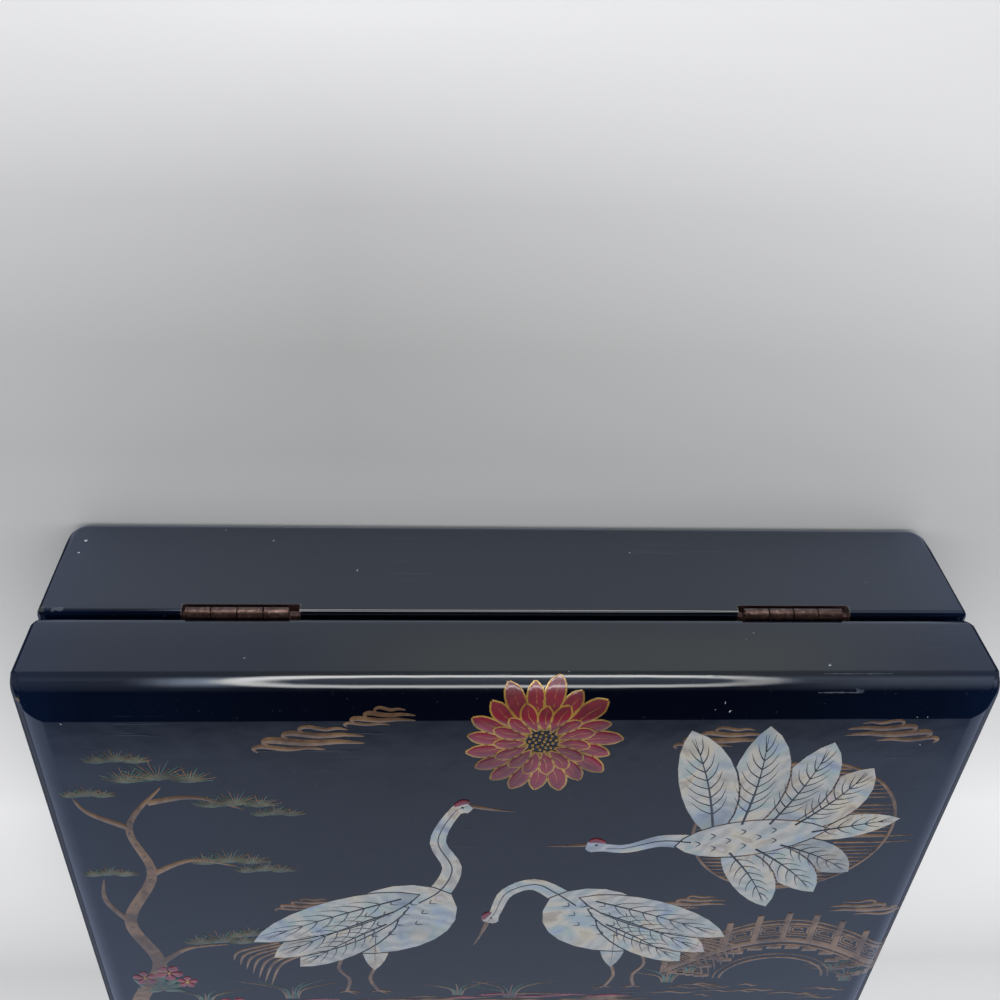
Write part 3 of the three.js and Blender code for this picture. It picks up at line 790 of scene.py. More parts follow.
def make_mirror_glass():
    """A pane whose shown face falls away at its rim in a broad bevel."""
    low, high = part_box("mirror")
    piece = block("bevelled_mirror", low, high)
    pick(piece, "FACE", lambda middle, normal: normal.z < -0.9)
    bpy.ops.mesh.inset(thickness=MIRROR_BEVEL_WIDTH, depth=0)
    put_down()
    rim = [corner for corner in piece.data.vertices if corner.co.z < low.z + TINY]
    outer = max(abs(corner.co.x) for corner in rim)
    for corner in rim:
        if abs(corner.co.x) > outer - TINY:
            corner.co.z += MIRROR_BEVEL_DEPTH
    dress(smoothed(piece, 2), "lid", MIRROR, "mirror_glass", "mirror")


def make_mirror_set():
    """The velvet board, the mirror on it and the four beads, which keep their mitred solids in lacquer."""
    velvet_board("lid_velvet_board", "lid_backing_board", LID_BOARD_ROUNDING, "lid", 4)
    make_mirror_glass()
    for side in ("front", "back", "left", "right"):
        coat(NODES[f"mirror_bead_{side}"], LACQUER)


# The shell plates


PEARL_TONES = (
    (0.3, rgb(0.13, 0.17, 0.23)), (0.38, rgb(0.2, 0.245, 0.32)), (0.45, rgb(0.22, 0.275, 0.26)),
    (0.51, rgb(0.31, 0.305, 0.29)), (0.57, rgb(0.36, 0.33, 0.26)), (0.63, rgb(0.24, 0.2, 0.15)),
    (0.68, rgb(0.34, 0.3, 0.29)), (0.74, rgb(0.3, 0.22, 0.22)),
)


def make_pearl(name, tilt, shift):
    """Mother-of-pearl: silver white in soft bands, with pools of sea green, blue, rose and honey brown."""
    finish, add, feed, place = new_finish(name)
    turned = add("Mapping", {"Vector": place, "Rotation": (0, 0, tilt), "Location": (tilt, shift, 0)})
    flow = turned.outputs["Vector"]
    bands = add(
        "TexWave",
        {"Vector": flow, "Scale": 70, "Distortion": 10, "Detail": 3, "Detail Scale": 1.1},
        wave_profile="SIN",
    ).outputs["Fac"]
    hue = ramp_of(add, noise_of(add, flow, 48, 2.5, 0.55, 1.6), PEARL_TONES)
    white = blended(add, stepped(add, bands, 0.1, 0.9), rgb(0.31, 0.305, 0.305), rgb(0.21, 0.22, 0.235))
    pool = stepped(add, noise_of(add, flow, 75, 3, 0.5, 1.0), 0.3, 0.66, 0.25, 0.95)
    pooled = blended(add, pool, white, hue)
    dusky = stepped(add, noise_of(add, flow, 30, 2), 0.52, 0.7, 0.0, 0.45)
    feed("Base Color", blended(add, dusky, pooled, rgb(0.1, 0.11, 0.12)))
    feed("Roughness", stepped(add, bands, 0, 1, 0.2, 0.34))
    feed("Coat Weight", 0.4)
    feed("Coat Roughness", 0.08)
    feed("Normal", bumped(add, bands, 0.2, 0.0002))
    return finish


PEARLS = [make_pearl(f"pearl_shell_{i + 1}", 0.7 + 1.15 * i, 0.31 * i) for i in range(5)]


def polish_plates():
    """Gives neighbouring plates different shells, so that each looks cut from its own."""
    plates = sorted(name for name in NODES if "crane" in name)
    for i, name in enumerate(plates):
        coat(NODES[name], PEARLS[i % len(PEARLS)])


# The picture on the lid, drawn in millimetres in plan, with up towards the hinged back


FLAT_BACK = (BASE_HIGH.y - TOP_ROUNDING) / MM
FLAT_SIDE = (BASE_HIGH.x - TOP_ROUNDING) / MM
ROUND = TOP_ROUNDING / MM
PAINT_THICKNESS = 0.07
PLATE_PROUD = 0.1
QUILL_WIDTH = 0.8
NECK_LINE_WIDTH = 0.6
BARB_WIDTH = 0.46
PETAL_EDGE_WIDTH = 0.5
VEIN_WIDTH = 0.3
ART = {}
DICE = random.Random(11)


def make_paint(name, deep, bright, metal, gloss):
    """Lacquer paint sprinkled with powder: mottled, a little worn, finely grained."""
    finish, add, feed, place = new_finish(name)
    worn = noise_of(add, place, 130, 5, 0.62, 0.5)
    grain = noise_of(add, place, 2400, 2)
    colour = blended(add, stepped(add, worn, 0.36, 0.66), deep, bright)
    feed("Base Color", blended(add, stepped(add, grain, 0.55, 0.75, 0.0, 0.4), colour, deep))
    feed("Metallic", metal)
    feed("Roughness", stepped(add, worn, 0.3, 0.7, gloss + 0.14, gloss))
    feed("Coat Weight", 0.8)
    feed("Coat Roughness", 0.06)
    feed("Normal", bumped(add, grain, 0.3, 0.00008))
    return finish


GOLD = make_paint("gold_paint", rgb(0.075, 0.038, 0.017), rgb(0.19, 0.105, 0.045), 0.3, 0.36)
BRIGHT_GOLD = make_paint("bright_gold_paint", rgb(0.22, 0.115, 0.02), rgb(0.46, 0.27, 0.05), 0.45, 0.3)
RED = make_paint("red_paint", rgb(0.085, 0.003, 0.009), rgb(0.17, 0.008, 0.019), 0.0, 0.3)
GREEN = make_paint("green_paint", rgb(0.012, 0.035, 0.022), rgb(0.035, 0.085, 0.05), 0.0, 0.35)
INK = make_paint("black_ink", rgb(0.004, 0.004, 0.006), rgb(0.01, 0.01, 0.012), 0.0, 0.3)


def rolled(past):
    """How far out and down a point lies that goes past the flat top by so much, and the lid's lean there."""
    quarter = ROUND * math.pi / 2
    if past <= 0:
        return past, 0.0, 0.0
    if past < quarter:
        turn = past / ROUND
        return ROUND * math.sin(turn), ROUND * (1 - math.cos(turn)), turn
    return ROUND, ROUND + past - quarter, math.pi / 2


def on_lid(across, up, lift):
    """The place of a drawn point on the lid, where the drawing wraps over the rounded edges."""
    out_x, down_x, turn_x = rolled(abs(across) - FLAT_SIDE)
    out_y, down_y, turn_y = rolled(abs(up) - FLAT_BACK)
    x = math.copysign(FLAT_SIDE + out_x + lift * math.sin(turn_x), across)
    y = math.copysign(FLAT_BACK + out_y + lift * math.sin(turn_y), up)
    z = LID_HIGH.z / MM - down_x - down_y + lift * math.cos(turn_x) * math.cos(turn_y)
    return Vector((x, y, z)) * MM


def through(points, per_gap=6):
    """Points along a smooth line through the given ones."""
    line = []
    for i in range(len(points) - 1):
        before, start = points[max(i - 1, 0)], points[i]
        end, after = points[i + 1], points[min(i + 2, len(points) - 1)]
        for step in range(per_gap):
            t = step / per_gap
            spot = []
            for k in (0, 1):
                bend = (2 * before[k] - 5 * start[k] + 4 * end[k] - after[k]) * t * t
                bend += (3 * start[k] - before[k] - 3 * end[k] + after[k]) * t * t * t
                spot.append(start[k] + ((end[k] - before[k]) * t + bend) / 2)
            line.append(tuple(spot))
    line.append(tuple(points[-1]))
    return line


BRUSHES = {
    "even": lambda t: 1.0,
    "swell": lambda t: 0.12 + 0.88 * math.sin(math.pi * t) ** 0.8,
    "taper": lambda t: 0.06 + 0.94 * (1 - t) ** 0.7,
    "lift": lambda t: 0.1 + 0.9 * math.sin(math.pi * min(1, 0.25 + 0.75 * t)),
    "petal": lambda t: max(0.02, math.sin(math.pi * t**1.5)) ** 0.75,
    "leaf": lambda t: max(0.02, math.sin(math.pi * t**0.85)) ** 0.9,
}


def lay(sheet, points, width, brush="swell", level=0.0, per_gap=6):
    """One brush stroke in a sheet of one colour. The brush says how its width runs from start to end."""
    line = through(points, per_gap)
    last = len(line) - 1
    widths = [max(0.04, width * BRUSHES[brush](i / last)) for i in range(last + 1)]
    ART.setdefault(sheet, {}).setdefault(round(level, 3), []).append((line, widths))
    return line, widths


def edge_lines(line, widths):
    """The two sides of a stroke, as lines from its start to its end."""
    sides = ([], [])
    for i, (x, y) in enumerate(line):
        ahead, behind = line[min(i + 1, len(line) - 1)], line[max(i - 1, 0)]
        run = math.hypot(ahead[0] - behind[0], ahead[1] - behind[1]) or 1
        across = (-(ahead[1] - behind[1]) / run, (ahead[0] - behind[0]) / run)
        half = widths[i] / 2
        sides[0].append((x + across[0] * half, y + across[1] * half))
        sides[1].append((x - across[0] * half, y - across[1] * half))
    return sides


def outline(sheet, line, widths, thickness, level):
    """Thin strokes along both sides of a stroke, through every second point."""
    for side in edge_lines(line, widths):
        lay(sheet, side[:-1:2] + side[-1:], thickness, "even", level, per_gap=2)


def make_sheet(name, finish, slot, sides):
    """Turns a sheet's strokes into thin raised paint lying on the lid."""
    parts = []
    for level, strokes in sorted(ART[name].items()):
        data = bpy.data.curves.new(name, "CURVE")
        data.dimensions = "3D"
        data.bevel_depth = 1
        data.bevel_resolution = sides
        data.use_fill_caps = True
        for line, widths in strokes:
            spline = data.splines.new("POLY")
            spline.points.add(len(line) - 1)
            for point, (x, y), width in zip(spline.points, line, widths):
                point.co = (x, y, 0, 1)
                point.radius = width / 2
        part = bpy.data.objects.new(name, data)
        bpy.context.scene.collection.objects.link(part)
        hold(part)
        bpy.ops.object.convert(target="MESH")
        part = bpy.context.object
        for corner in part.data.vertices:
            x, y, z = corner.co
            swell = PAINT_THICKNESS * abs(z) ** 0.15
            corner.co = on_lid(x, y, level + (swell if z > 0 else -3 * swell))
        parts.append(part)
    let_go()
    for part in parts:
        part.select_set(True)
    bpy.context.view_layer.objects.active = parts[0]
    if len(parts) > 1:
        bpy.ops.object.join()
    piece = bpy.context.object
    piece.name = piece.data.name = name
    hold(piece)
    bpy.ops.object.shade_smooth_by_angle(angle=math.radians(50))
    return dress(piece, "lid", finish, slot)


def spot_on(crane, point):
    """A point of a crane's drawing, at its place on the lid."""
    x, y = point[0] * crane["flip"] * crane["size"], point[1] * crane["size"]
    turn = math.radians(crane["turn"])
    cos, sin = math.cos(turn), math.sin(turn)
    return (crane["x"] + x * cos - y * sin, crane["y"] + x * sin + y * cos)


def crane_line(crane, sheet, points, width, brush="swell", level=0.0, per_gap=6):
    """A stroke given in the crane's own drawing."""
    lay(sheet, [spot_on(crane, point) for point in points], width * crane["size"], brush, level, per_gap)


def engrave(crane, points, width, brush="taper", per_gap=6):
    """A black line in the top of a plate."""
    crane_line(crane, "engraved_black_lines", points, width, brush, PLATE_PROUD, per_gap)


def along(start, end, share, aside=0.0):
    """A point part of the way from one point to another, moved aside to its left by so much."""
    run = (end[0] - start[0], end[1] - start[1])
    length = math.hypot(*run)
    return (
        start[0] + run[0] * share - run[1] / length * aside,
        start[1] + run[1] * share + run[0] / length * aside,
    )


def engrave_feather(crane, root, tip, width, bend, barbs=7):
    """A quill down the middle and barbs swept back from it, cut into a plate and filled with black."""
    lean = 0.1
    shares = (0.1, 0.35, 0.6, 0.93)
    quill = [along(root, tip, share, bend * math.sin(math.pi * share)) for share in shares]
    engrave(crane, quill, QUILL_WIDTH)
    for i in range(barbs):
        share = 0.22 + 0.56 * i / (barbs - 1)
        reach = share + lean * 1.5
        spread = width * 1.34 * reach * (1 - reach)
        for side in (-1, 1):
            start = along(root, tip, share, bend * math.sin(math.pi * share))
            middle = along(root, tip, share + lean * 0.6, bend * 0.8 + side * spread * 0.6)
            end = along(root, tip, reach, bend * 0.6 + side * spread)
            engrave(crane, [start, middle, end], BARB_WIDTH, "taper", 3)


def engrave_scales(crane, centre, tip, rows, spread):
    """Rows of small scallops over a breast."""
    for row in range(rows):
        share = 0.16 + 0.6 * row / rows
        reach = spread * math.sin(math.pi * (share + 0.08))
        count = max(1, int(reach / 3))
        for i in range(-count, count + 1):
            if (i + row) % 2:
                continue
            aside = i * reach / (count + 0.6)
            left = along(centre, tip, share - 0.035, aside - 1.3)
            right = along(centre, tip, share - 0.035, aside + 1.3)
            engrave(crane, [left, along(centre, tip, share, aside), right], BARB_WIDTH, "swell", 3)


def wing_feathers(root, step, angle, angle_step, lengths):
    """The roots and tips of a fan of feathers, each stepped and turned from the last."""
    for i, length in enumerate(lengths):
        start = (root[0] + step[0] * i, root[1] + step[1] * i)
        turn = math.radians(angle + angle_step * i)
        yield start, (start[0] + length * math.cos(turn), start[1] + length * math.sin(turn))


# Where the cranes stand or fly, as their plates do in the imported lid
TALL = {"x": -30, "y": -47, "turn": 0, "flip": -1, "size": 1.0}
STOOPING = {"x": 27, "y": -47, "turn": 0, "flip": 1, "size": 0.95}
FLYING = {"x": 64, "y": 26, "turn": 7, "flip": 1, "size": 1.0}


def paint_head(crane, head, brow, bill_root, bill_tip):
    """A red crown, a gold bill with a black slit and a black eye."""
    crane_line(crane, "crane_crown_red", brow, 2.1, "swell", PLATE_PROUD)
    bill = [bill_root, along(bill_root, bill_tip, 0.5, 0.25), bill_tip]
    crane_line(crane, "crane_bill_gold", bill, 1.5, "taper", 0.03)
    slit = [along(bill_root, bill_tip, 0.05), along(bill_root, bill_tip, 0.6)]
    crane_line(crane, "engraved_black_lines", slit, 0.22, "taper", 0.08, 3)
    engrave(crane, [(head[0] - 0.35, head[1]), (head[0] + 0.35, head[1])], 0.75, "even")


def paint_standing_crane(crane, neck, head, brow, bill_tip):
    for root, tip in wing_feathers((-6, 50), (3, -6), -25, -7, (52, 46, 37)):
        engrave_feather(crane, root, tip, 14, 1.0)
    engrave_scales(crane, (-15, 50), (22, 24), 6, 8)
    engrave(crane, neck, NECK_LINE_WIDTH)
    engrave(crane, [(6.2, 31), (6.6, 24), (6.9, 15)], 0.35)
    paint_head(crane, head, brow, neck[-1], bill_tip)
    for leg in ([(7, 13), (8.4, 7), (6.2, 0.6)], [(14, 24), (17.5, 14), (14.6, 7), (15.6, 0.6)]):
        crane_line(crane, "crane_bill_gold", leg, 1.05, "even", 0.02)
        foot = leg[-1]
        for toe in ((-4.6, -1.0), (-3.2, -2.2), (2.6, -0.9)):
            toe_line = [foot, (foot[0] + toe[0], foot[1] + toe[1])]
            crane_line(crane, "crane_bill_gold", toe_line, 0.9, "taper", 0.02)
    for i in range(7):
        start = (25 + i * 1.5, 22 + i * 0.9)
        middle = (34 + i * 1.9, 16 + i * 1.2)
        end = (38 + i * 1.6, 4 + i * 2.4)
        crane_line(crane, "plume_gold", [start, middle, end], 1.1, "lift", 0.0)


def paint_flying_crane(crane):
    for root, tip in wing_feathers((-9, 3), (6.5, 0), 99, -17, (44, 43, 38, 31)):
        engrave_feather(crane, root, tip, 15, -1.3, 8)
    for root, tip in wing_feathers((-6, -2), (6.5, 0), -66, 15, (33, 32, 28)):
        engrave_feather(crane, root, tip, 12, 1.3, 6)
    engrave_feather(crane, (15, 1), (41, 4), 10, 0, 5)
    engrave_scales(crane, (-19, 0), (22, 2), 6, 5)
    engrave(crane, [(-15, 1.2), (-23, 3), (-33, 1.2), (-38, 2)], NECK_LINE_WIDTH)
    paint_head(crane, (-40.4, 3.6), [(-42.4, 5.2), (-40.4, 5.7), (-37.8, 4.3)], (-42.6, 4), (-54, 5.2))
    for aside in (-1.6, -4.2):
        leg = [(24, aside), (36, aside - 1.6), (46, aside - 2.2)]
        crane_line(crane, "crane_bill_gold", leg, 1.0, "taper", 0.02)


def paint_sun():
    """A gold disc of level brush lines behind the flying crane, with two clear bands across it."""
    centre_x, centre_y, radius = 76, 31, 27
    for i in range(33):
        up = centre_y - radius + 1 + i * (2 * radius - 2) / 32
        half = math.sqrt(max(0, radius**2 - (up - centre_y) ** 2))
        if 11 < i < 14 or 22 < i < 24:
            continue
        parts = [(-half, half)]
        if i % 5 == 2:
            cut_at = DICE.uniform(-0.5, 0.5) * half
            parts = [(-half, cut_at - 2), (cut_at + 3, half)]
        for low, high in parts:
            if high - low < 3:
                continue
            wave = DICE.uniform(-0.25, 0.25)
            middle = (centre_x + (low + high) / 2, up + wave)
            lay("sun_gold", [(centre_x + low, up), middle, (centre_x + high, up)], 1.25, "swell", 0, 8)
    turns = [i * math.pi / 24 for i in range(49)]
    ring = [(centre_x + radius * math.cos(turn), centre_y + radius * math.sin(turn)) for turn in turns]
    lay("sun_gold", ring, 0.9, "even", 0.01, 2)


def paint_cloud(x, y, size, flip=1):
    """A drifting cloud of four loose gold strokes with curled heads."""
    strokes = ((0, 0, 22, 2.6), (5, 2.6, 17, 2.1), (-3, -2.4, 15, 1.7), (9, 5.0, 9, 1.4))
    for lead, rise, length, width in strokes:
        head = ((-2.2, -0.9), (-3.2, 0.5), (-1.2, 1.4))
        tail = ((length * 0.35, 0.4), (length * 0.7, 0.8), (length, 0.2))
        points = [(x + flip * size * (lead + run), y + size * (rise + up)) for run, up in head + tail]
        lay("cloud_gold", points, width * size, "swell", 0, 6)


def paint_chrysanthemum(x, y, radius, petals):
    """A red flower of two rings of petals edged in gold, round a gold heart."""
    rings = ((1.0, petals, 0.0, 0.0), (0.66, petals - 4, 0.5, 0.09))
    for reach, count, start, level in rings:
        for i in range(count):
            turn = 2 * math.pi * (i + start) / count
            lean = turn + 0.1
            length = radius * reach * (0.94 + 0.06 * math.cos(3 * i))
            root = (x + 0.2 * radius * math.cos(turn), y + 0.2 * radius * math.sin(turn))
            middle = (x + 0.62 * length * math.cos(lean), y + 0.62 * length * math.sin(lean))
            tip = (x + length * math.cos(turn + 0.04), y + length * math.sin(turn + 0.04))
            width = 2 * math.pi * length * 0.8 / count * 0.92
            line, widths = lay("flower_red", [root, middle, tip], width, "petal", level)
            outline("flower_edge_gold", line, widths, PETAL_EDGE_WIDTH, level + 0.04)
            vein = [along(root, tip, 0.3), along(root, tip, 0.62, 0.12 * width), along(root, tip, 0.86)]
            lay("flower_edge_gold", vein, VEIN_WIDTH, "taper", level + 0.04, 3)
    for i in range(26):
        turn, reach = i * 2.4, 0.19 * radius * math.sqrt((i + 0.5) / 26)
        dot = (x + reach * math.cos(turn), y + reach * math.sin(turn))
        lay("flower_edge_gold", [(dot[0] - 0.3, dot[1]), (dot[0] + 0.3, dot[1])], 0.9, "even", 0.14, 2)


def paint_small_flower(x, y, radius, turn=0.0):
    for i in range(5):
        angle = turn + 2 * math.pi * i / 5
        root = (x + 0.12 * radius * math.cos(angle), y + 0.12 * radius * math.sin(angle))
        tip = (x + radius * math.cos(angle), y + radius * math.sin(angle))
        petal = [root, along(root, tip, 0.5, 0.06 * radius), tip]
        lay("small_flower_red", petal, radius * 0.72, "petal", 0.02, 4)
        vein = [along(root, tip, 0.1), along(root, tip, 0.55)]
        lay("flower_edge_gold", vein, VEIN_WIDTH, "taper", 0.06, 3)
    lay("flower_edge_gold", [(x - 0.4, y), (x + 0.4, y)], 1.1, "even", 0.07, 2)


def paint_leaf(x, y, angle, length, width):
    turn = math.radians(angle)
    tip = (x + length * math.cos(turn), y + length * math.sin(turn))
    middle = along((x, y), tip, 0.5, 0.1 * length)
    lay("leaf_green", [(x, y), middle, tip], width, "leaf", 0.0, 5)
    lay("grass_gold", [(x, y), middle, along((x, y), tip, 0.9)], 0.28, "taper", 0.04, 4)


def paint_flower_clump(x, y, size, flip=1):
    """Red flowers over green leaves and grass."""
    for angle, length in ((168, 9), (140, 12), (112, 10), (78, 13), (48, 10), (20, 11), (-8, 8)):
        paint_leaf(x, y, 90 + (angle - 90) * flip, length * size, 3.0 * size)
    for offset, radius, turn in (((-5, 8), 4.2, 0.3), ((3.5, 11), 4.8, 0.9), ((9, 5), 3.6, 0.1)):
        paint_small_flower(x + offset[0] * size * flip, y + offset[1] * size, radius * size, turn)


def paint_grass(x, y, size, count=7):
    for i in range(count):
        lean = (i - (count - 1) / 2) * 2.1 * size / count + DICE.uniform(-0.5, 0.5)
        height = size * DICE.uniform(0.7, 1.2)
        sheet = "leaf_green" if i % 3 else "grass_gold"
        blade = [(x + lean * 0.2, y), (x + lean * 0.5, y + height * 0.6), (x + lean * 1.9, y + height)]
        lay(sheet, blade, 0.75, "taper", 0, 4)


def paint_needle_pad(x, y, radius):
    """A flat pad of pine needles in three fans, green and gold by turns."""
    fans = ((-0.75, -0.1, 0.75), (0.75, -0.1, 0.75), (0, 0, 1.0))
    for layer, (aside, up, share) in enumerate(fans):
        root = (x + radius * aside, y + radius * up)
        for i in range(17):
            angle = math.radians(8 + 164 * i / 16)
            length = radius * share * (0.85 + 0.2 * math.sin(i * 2.3))
            tip = (root[0] + length * math.cos(angle), root[1] + length * 0.8 * math.sin(angle))
            sheet = "needle_gold" if i % 2 else "needle_green"
            lay(sheet, [root, along(root, tip, 0.6, 0.15), tip], 0.5, "taper", 0.02 * layer, 3)


def paint_pine():
    """An old pine leaning in from the left, its trunk in brown-gold brush strokes with bark marks."""
    trunk = [(-104, -74), (-108, -52), (-99, -30), (-104, -8), (-95, 14), (-98, 34), (-88, 50)]
    line, widths = lay("trunk_gold", trunk, 5.4, "taper", 0.0, 8)
    for i in range(3, len(line) - 6, 2):
        side = 1 if i % 4 == 3 else -1
        x, y = line[i]
        half = widths[i] * 0.28
        mark = [(x - side * half, y - 1.2), (x, y + 0.4), (x + side * half, y - 0.4)]
        lay("bark_black", mark, 0.5, "swell", 0.03, 3)
    boughs = (
        [(-99, -30), (-90, -22), (-78, -20)],
        [(-104, -8), (-109, 2), (-108, 12)],
        [(-95, 14), (-84, 20), (-72, 17)],
        [(-98, 34), (-107, 40), (-110, 46)],
        [(-92, 44), (-80, 46), (-68, 41)],
    )
    for bough in boughs:
        lay("trunk_gold", bough, 2.2, "taper", 0.0, 6)
    pads = (
        (-80, -19, 8), (-71, -16, 6), (-106, 14, 5.5), (-74, 19, 8), (-65, 15, 6), (-106, 47, 5),
        (-88, 53, 10), (-70, 43, 8), (-60, 39, 5), (-97, 60, 6),
    )
    for x, y, radius in pads:
        paint_needle_pad(x, y, radius)


def lay_chain(sheet, points, width):
    """Straight strokes from point to point, so that the corners stay sharp."""
    for start, end in zip(points, points[1:]):
        lay(sheet, [start, end], width, "even", 0.0, 2)


def paint_bridge():
    """An arched stone bridge with a railing of square frets, over level water lines."""
    left, right, foot, rise = 50, 117, -39, 16
    posts = 25

    def deck(x, above=0.0):
        share = (x - left) / (right - left)
        return (x, foot + rise * math.sin(math.pi * share) + above)

    xs = [left + (right - left) * i / (posts - 1) for i in range(posts)]
    for above, width in ((0.6, 2.6), (-1.9, 0.8), (3.0, 0.6), (9.0, 1.2), (10.8, 0.7)):
        lay("bridge_gold", [deck(x, above) for x in xs], width, "even", 0.0, 2)
    for x in xs[::3]:
        lay("bridge_gold", [deck(x, -0.4), deck(x, 13.2)], 1.9, "even", 0.01, 3)
        lay("bridge_gold", [deck(x, 13.0), deck(x, 14.6)], 2.2, "swell", 0.02, 3)
    for i in range(0, posts - 1, 3):
        low, high = xs[i] + 1.4, xs[i + 3] - 1.4
        middle = (low + high) / 2
        panel = [deck(low, 4.2), deck(high, 4.2), deck(high, 7.8), deck(low, 7.8), deck(low, 4.2)]
        lay_chain("bridge_gold", panel, 0.6)
        turns = ((1.9, 5.2), (-1.9, 5.2), (-1.9, 6.9), (1.0, 6.9), (1.0, 6.0))
        lay_chain("bridge_gold", [deck(middle + aside, above) for aside, above in turns], 0.55)
    arch_middle, arch_half, arch_height = 84, 16, 11
    for wider, width in ((0, 0.8), (2.0, 0.5)):
        arch = []
        for i in range(17):
            angle = math.pi * (1 - i / 16)
            x = arch_middle + (arch_half + wider) * math.cos(angle)
            arch.append((x, foot - 4 + (arch_height + wider) * math.sin(angle)))
        lay("bridge_gold", arch, width, "even", 0.0, 2)
    clear_half, clear_height = 19, 9.5
    for row in range(4):
        for i in range(12):
            x, y = deck(54 + i * 5.6 + (row % 2) * 2.8, -3.2 - row * 2.6)
            from_middle = abs(x - arch_middle) / clear_half
            in_arch = from_middle < 1 and y < foot + clear_height * math.sqrt(1 - from_middle**2) + 1
            if in_arch or y < foot - 4:
                continue
            lay("bridge_gold", [(x - 2.3, y), (x + 2.3, y)], 2.0, "even", 0.0, 3)
            lay("bark_black", [(x - 1.3, y - 0.2), (x + 1.1, y + 0.2)], 0.3, "swell", 0.04, 3)
    for i in range(34):
        x = DICE.uniform(48, 108)
        y = -46 - 24 * DICE.random()
        length = DICE.uniform(5, 15)
        if x + length > 114:
            continue
        ripple = [(x, y), (x + length * 0.4, y + 0.6), (x + length * 0.7, y - 0.3), (x + length, y + 0.2)]
        lay("water_gold", ripple, 0.8, "swell", 0, 4)


GRASS_TUFTS = (
    (-62, -50, 9), (-12, -50, 7), (4, -52, 9), (52, -45, 8),
    (58, -40, 6), (-88, -52, 8), (108, -46, 8), (103, -40, 6),
)
FLOWER_CLUMPS = (
    (-84, -66, 1.1, 1), (-50, -70, 0.9, -1), (2, -70, 1.0, 1), (28, -72, 0.8, -1), (-100, -44, 0.85, 1),
)
CLOUDS = (
    (-58, 66, 0.95, 1), (100, 68, 0.85, -1), (44, 66, 0.8, 1), (-38, 74, 0.6, 1),
    (112, -8, 0.8, -1), (48, -4, 0.7, 1), (-60, -2, 0.6, 1),
)


def paint_ground():
    """The bank under the cranes: loose brown-gold and red strokes, grass and flowers."""
    for i in range(46):
        x = DICE.uniform(-98, 40)
        y = -49.5 - 4.5 * DICE.random() - 0.0006 * (x + 20) ** 2
        length = DICE.uniform(7, 20)
        sheet = "ground_gold" if i % 3 else "ground_red"
        middle = (x + length * 0.5, y + DICE.uniform(-0.6, 0.9))
        end = (x + length, y + DICE.uniform(-0.5, 0.5))
        lay(sheet, [(x, y), middle, end], DICE.uniform(0.5, 1.2), "swell", 0, 5)
    for x, y, size in GRASS_TUFTS:
        paint_grass(x, y, size)
    for x, y, size, flip in FLOWER_CLUMPS:
        paint_flower_clump(x, y, size, flip)


def paint_picture():
    paint_standing_crane(
        TALL,
        [(-6, 46), (-12, 52), (-15, 62), (-11, 74), (-15, 86), (-18.6, 88.8)],
        (-17.2, 88.1),
        [(-19.0, 90.1), (-17.2, 90.3), (-15.0, 88.6)],
        (-31, 86.2),
    )
    paint_standing_crane(
        STOOPING,
        [(-7, 46), (-14, 53), (-20, 57), (-28, 53), (-31, 43), (-33, 38.4)],
        (-32.1, 40.2),
        [(-34.4, 39.4), (-33.8, 41.6), (-32.2, 43.4)],
        (-37, 25.5),
    )
    paint_flying_crane(FLYING)
    paint_sun()
    paint_chrysanthemum(6, 66.5, 20, 19)
    for x, y, size, flip in CLOUDS:
        paint_cloud(x, y, size, flip)
    paint_pine()
    paint_bridge()
    paint_ground()
    for name in (
        "sun_gold", "cloud_gold", "flower_edge_gold", "needle_gold", "trunk_gold", "bridge_gold",
        "water_gold", "ground_gold", "grass_gold", "plume_gold", "crane_bill_gold",
    ):
        make_sheet(name, BRIGHT_GOLD if name == "flower_edge_gold" else GOLD, "gold_paint", 1)
    for name in ("flower_red", "small_flower_red", "crane_crown_red", "ground_red"):
        make_sheet(name, RED, "red_paint", 4)
    for name in ("needle_green", "leaf_green"):
        make_sheet(name, GREEN, "green_paint", 2)
    for name in ("engraved_black_lines", "bark_black"):
        make_sheet(name, INK, "black_ink", 1)


# The room


# The paper's painted shade from front to back, darkest just behind the box's back: each with its y, its red,
# and green and blue as shares of that
PAPER_FRONT = -0.3
PAPER_BACK = 0.3
PAPER_PAINTED_SHADE = (
    (-0.3, 0.8, 1, 1), (-0.145, 0.496, 0.987, 0.97), (-0.043, 0.91, 0.987, 0.97),
    (0.052, 0.635, 0.99, 0.98), (0.088, 0.476, 1.003, 0.995), (0.106, 0.4, 1.0, 0.995),
    (0.137, 0.386, 0.99, 0.97), (0.176, 0.49, 0.987, 0.97), (0.216, 0.781, 0.985, 0.972),
    (0.25, 0.88, 0.985, 0.972),
)

# How fast the painted shade pales to the sides, from front to back
PAPER_SLOPES = (
    (-0.3, 0.15), (-0.145, 0.47), (-0.043, 0.14), (0.052, 0.05), (0.088, 0.15), (0.106, 0.41),
    (0.137, 0.615), (0.176, 0.56), (0.216, 0.03), (0.25, 0.03),
)


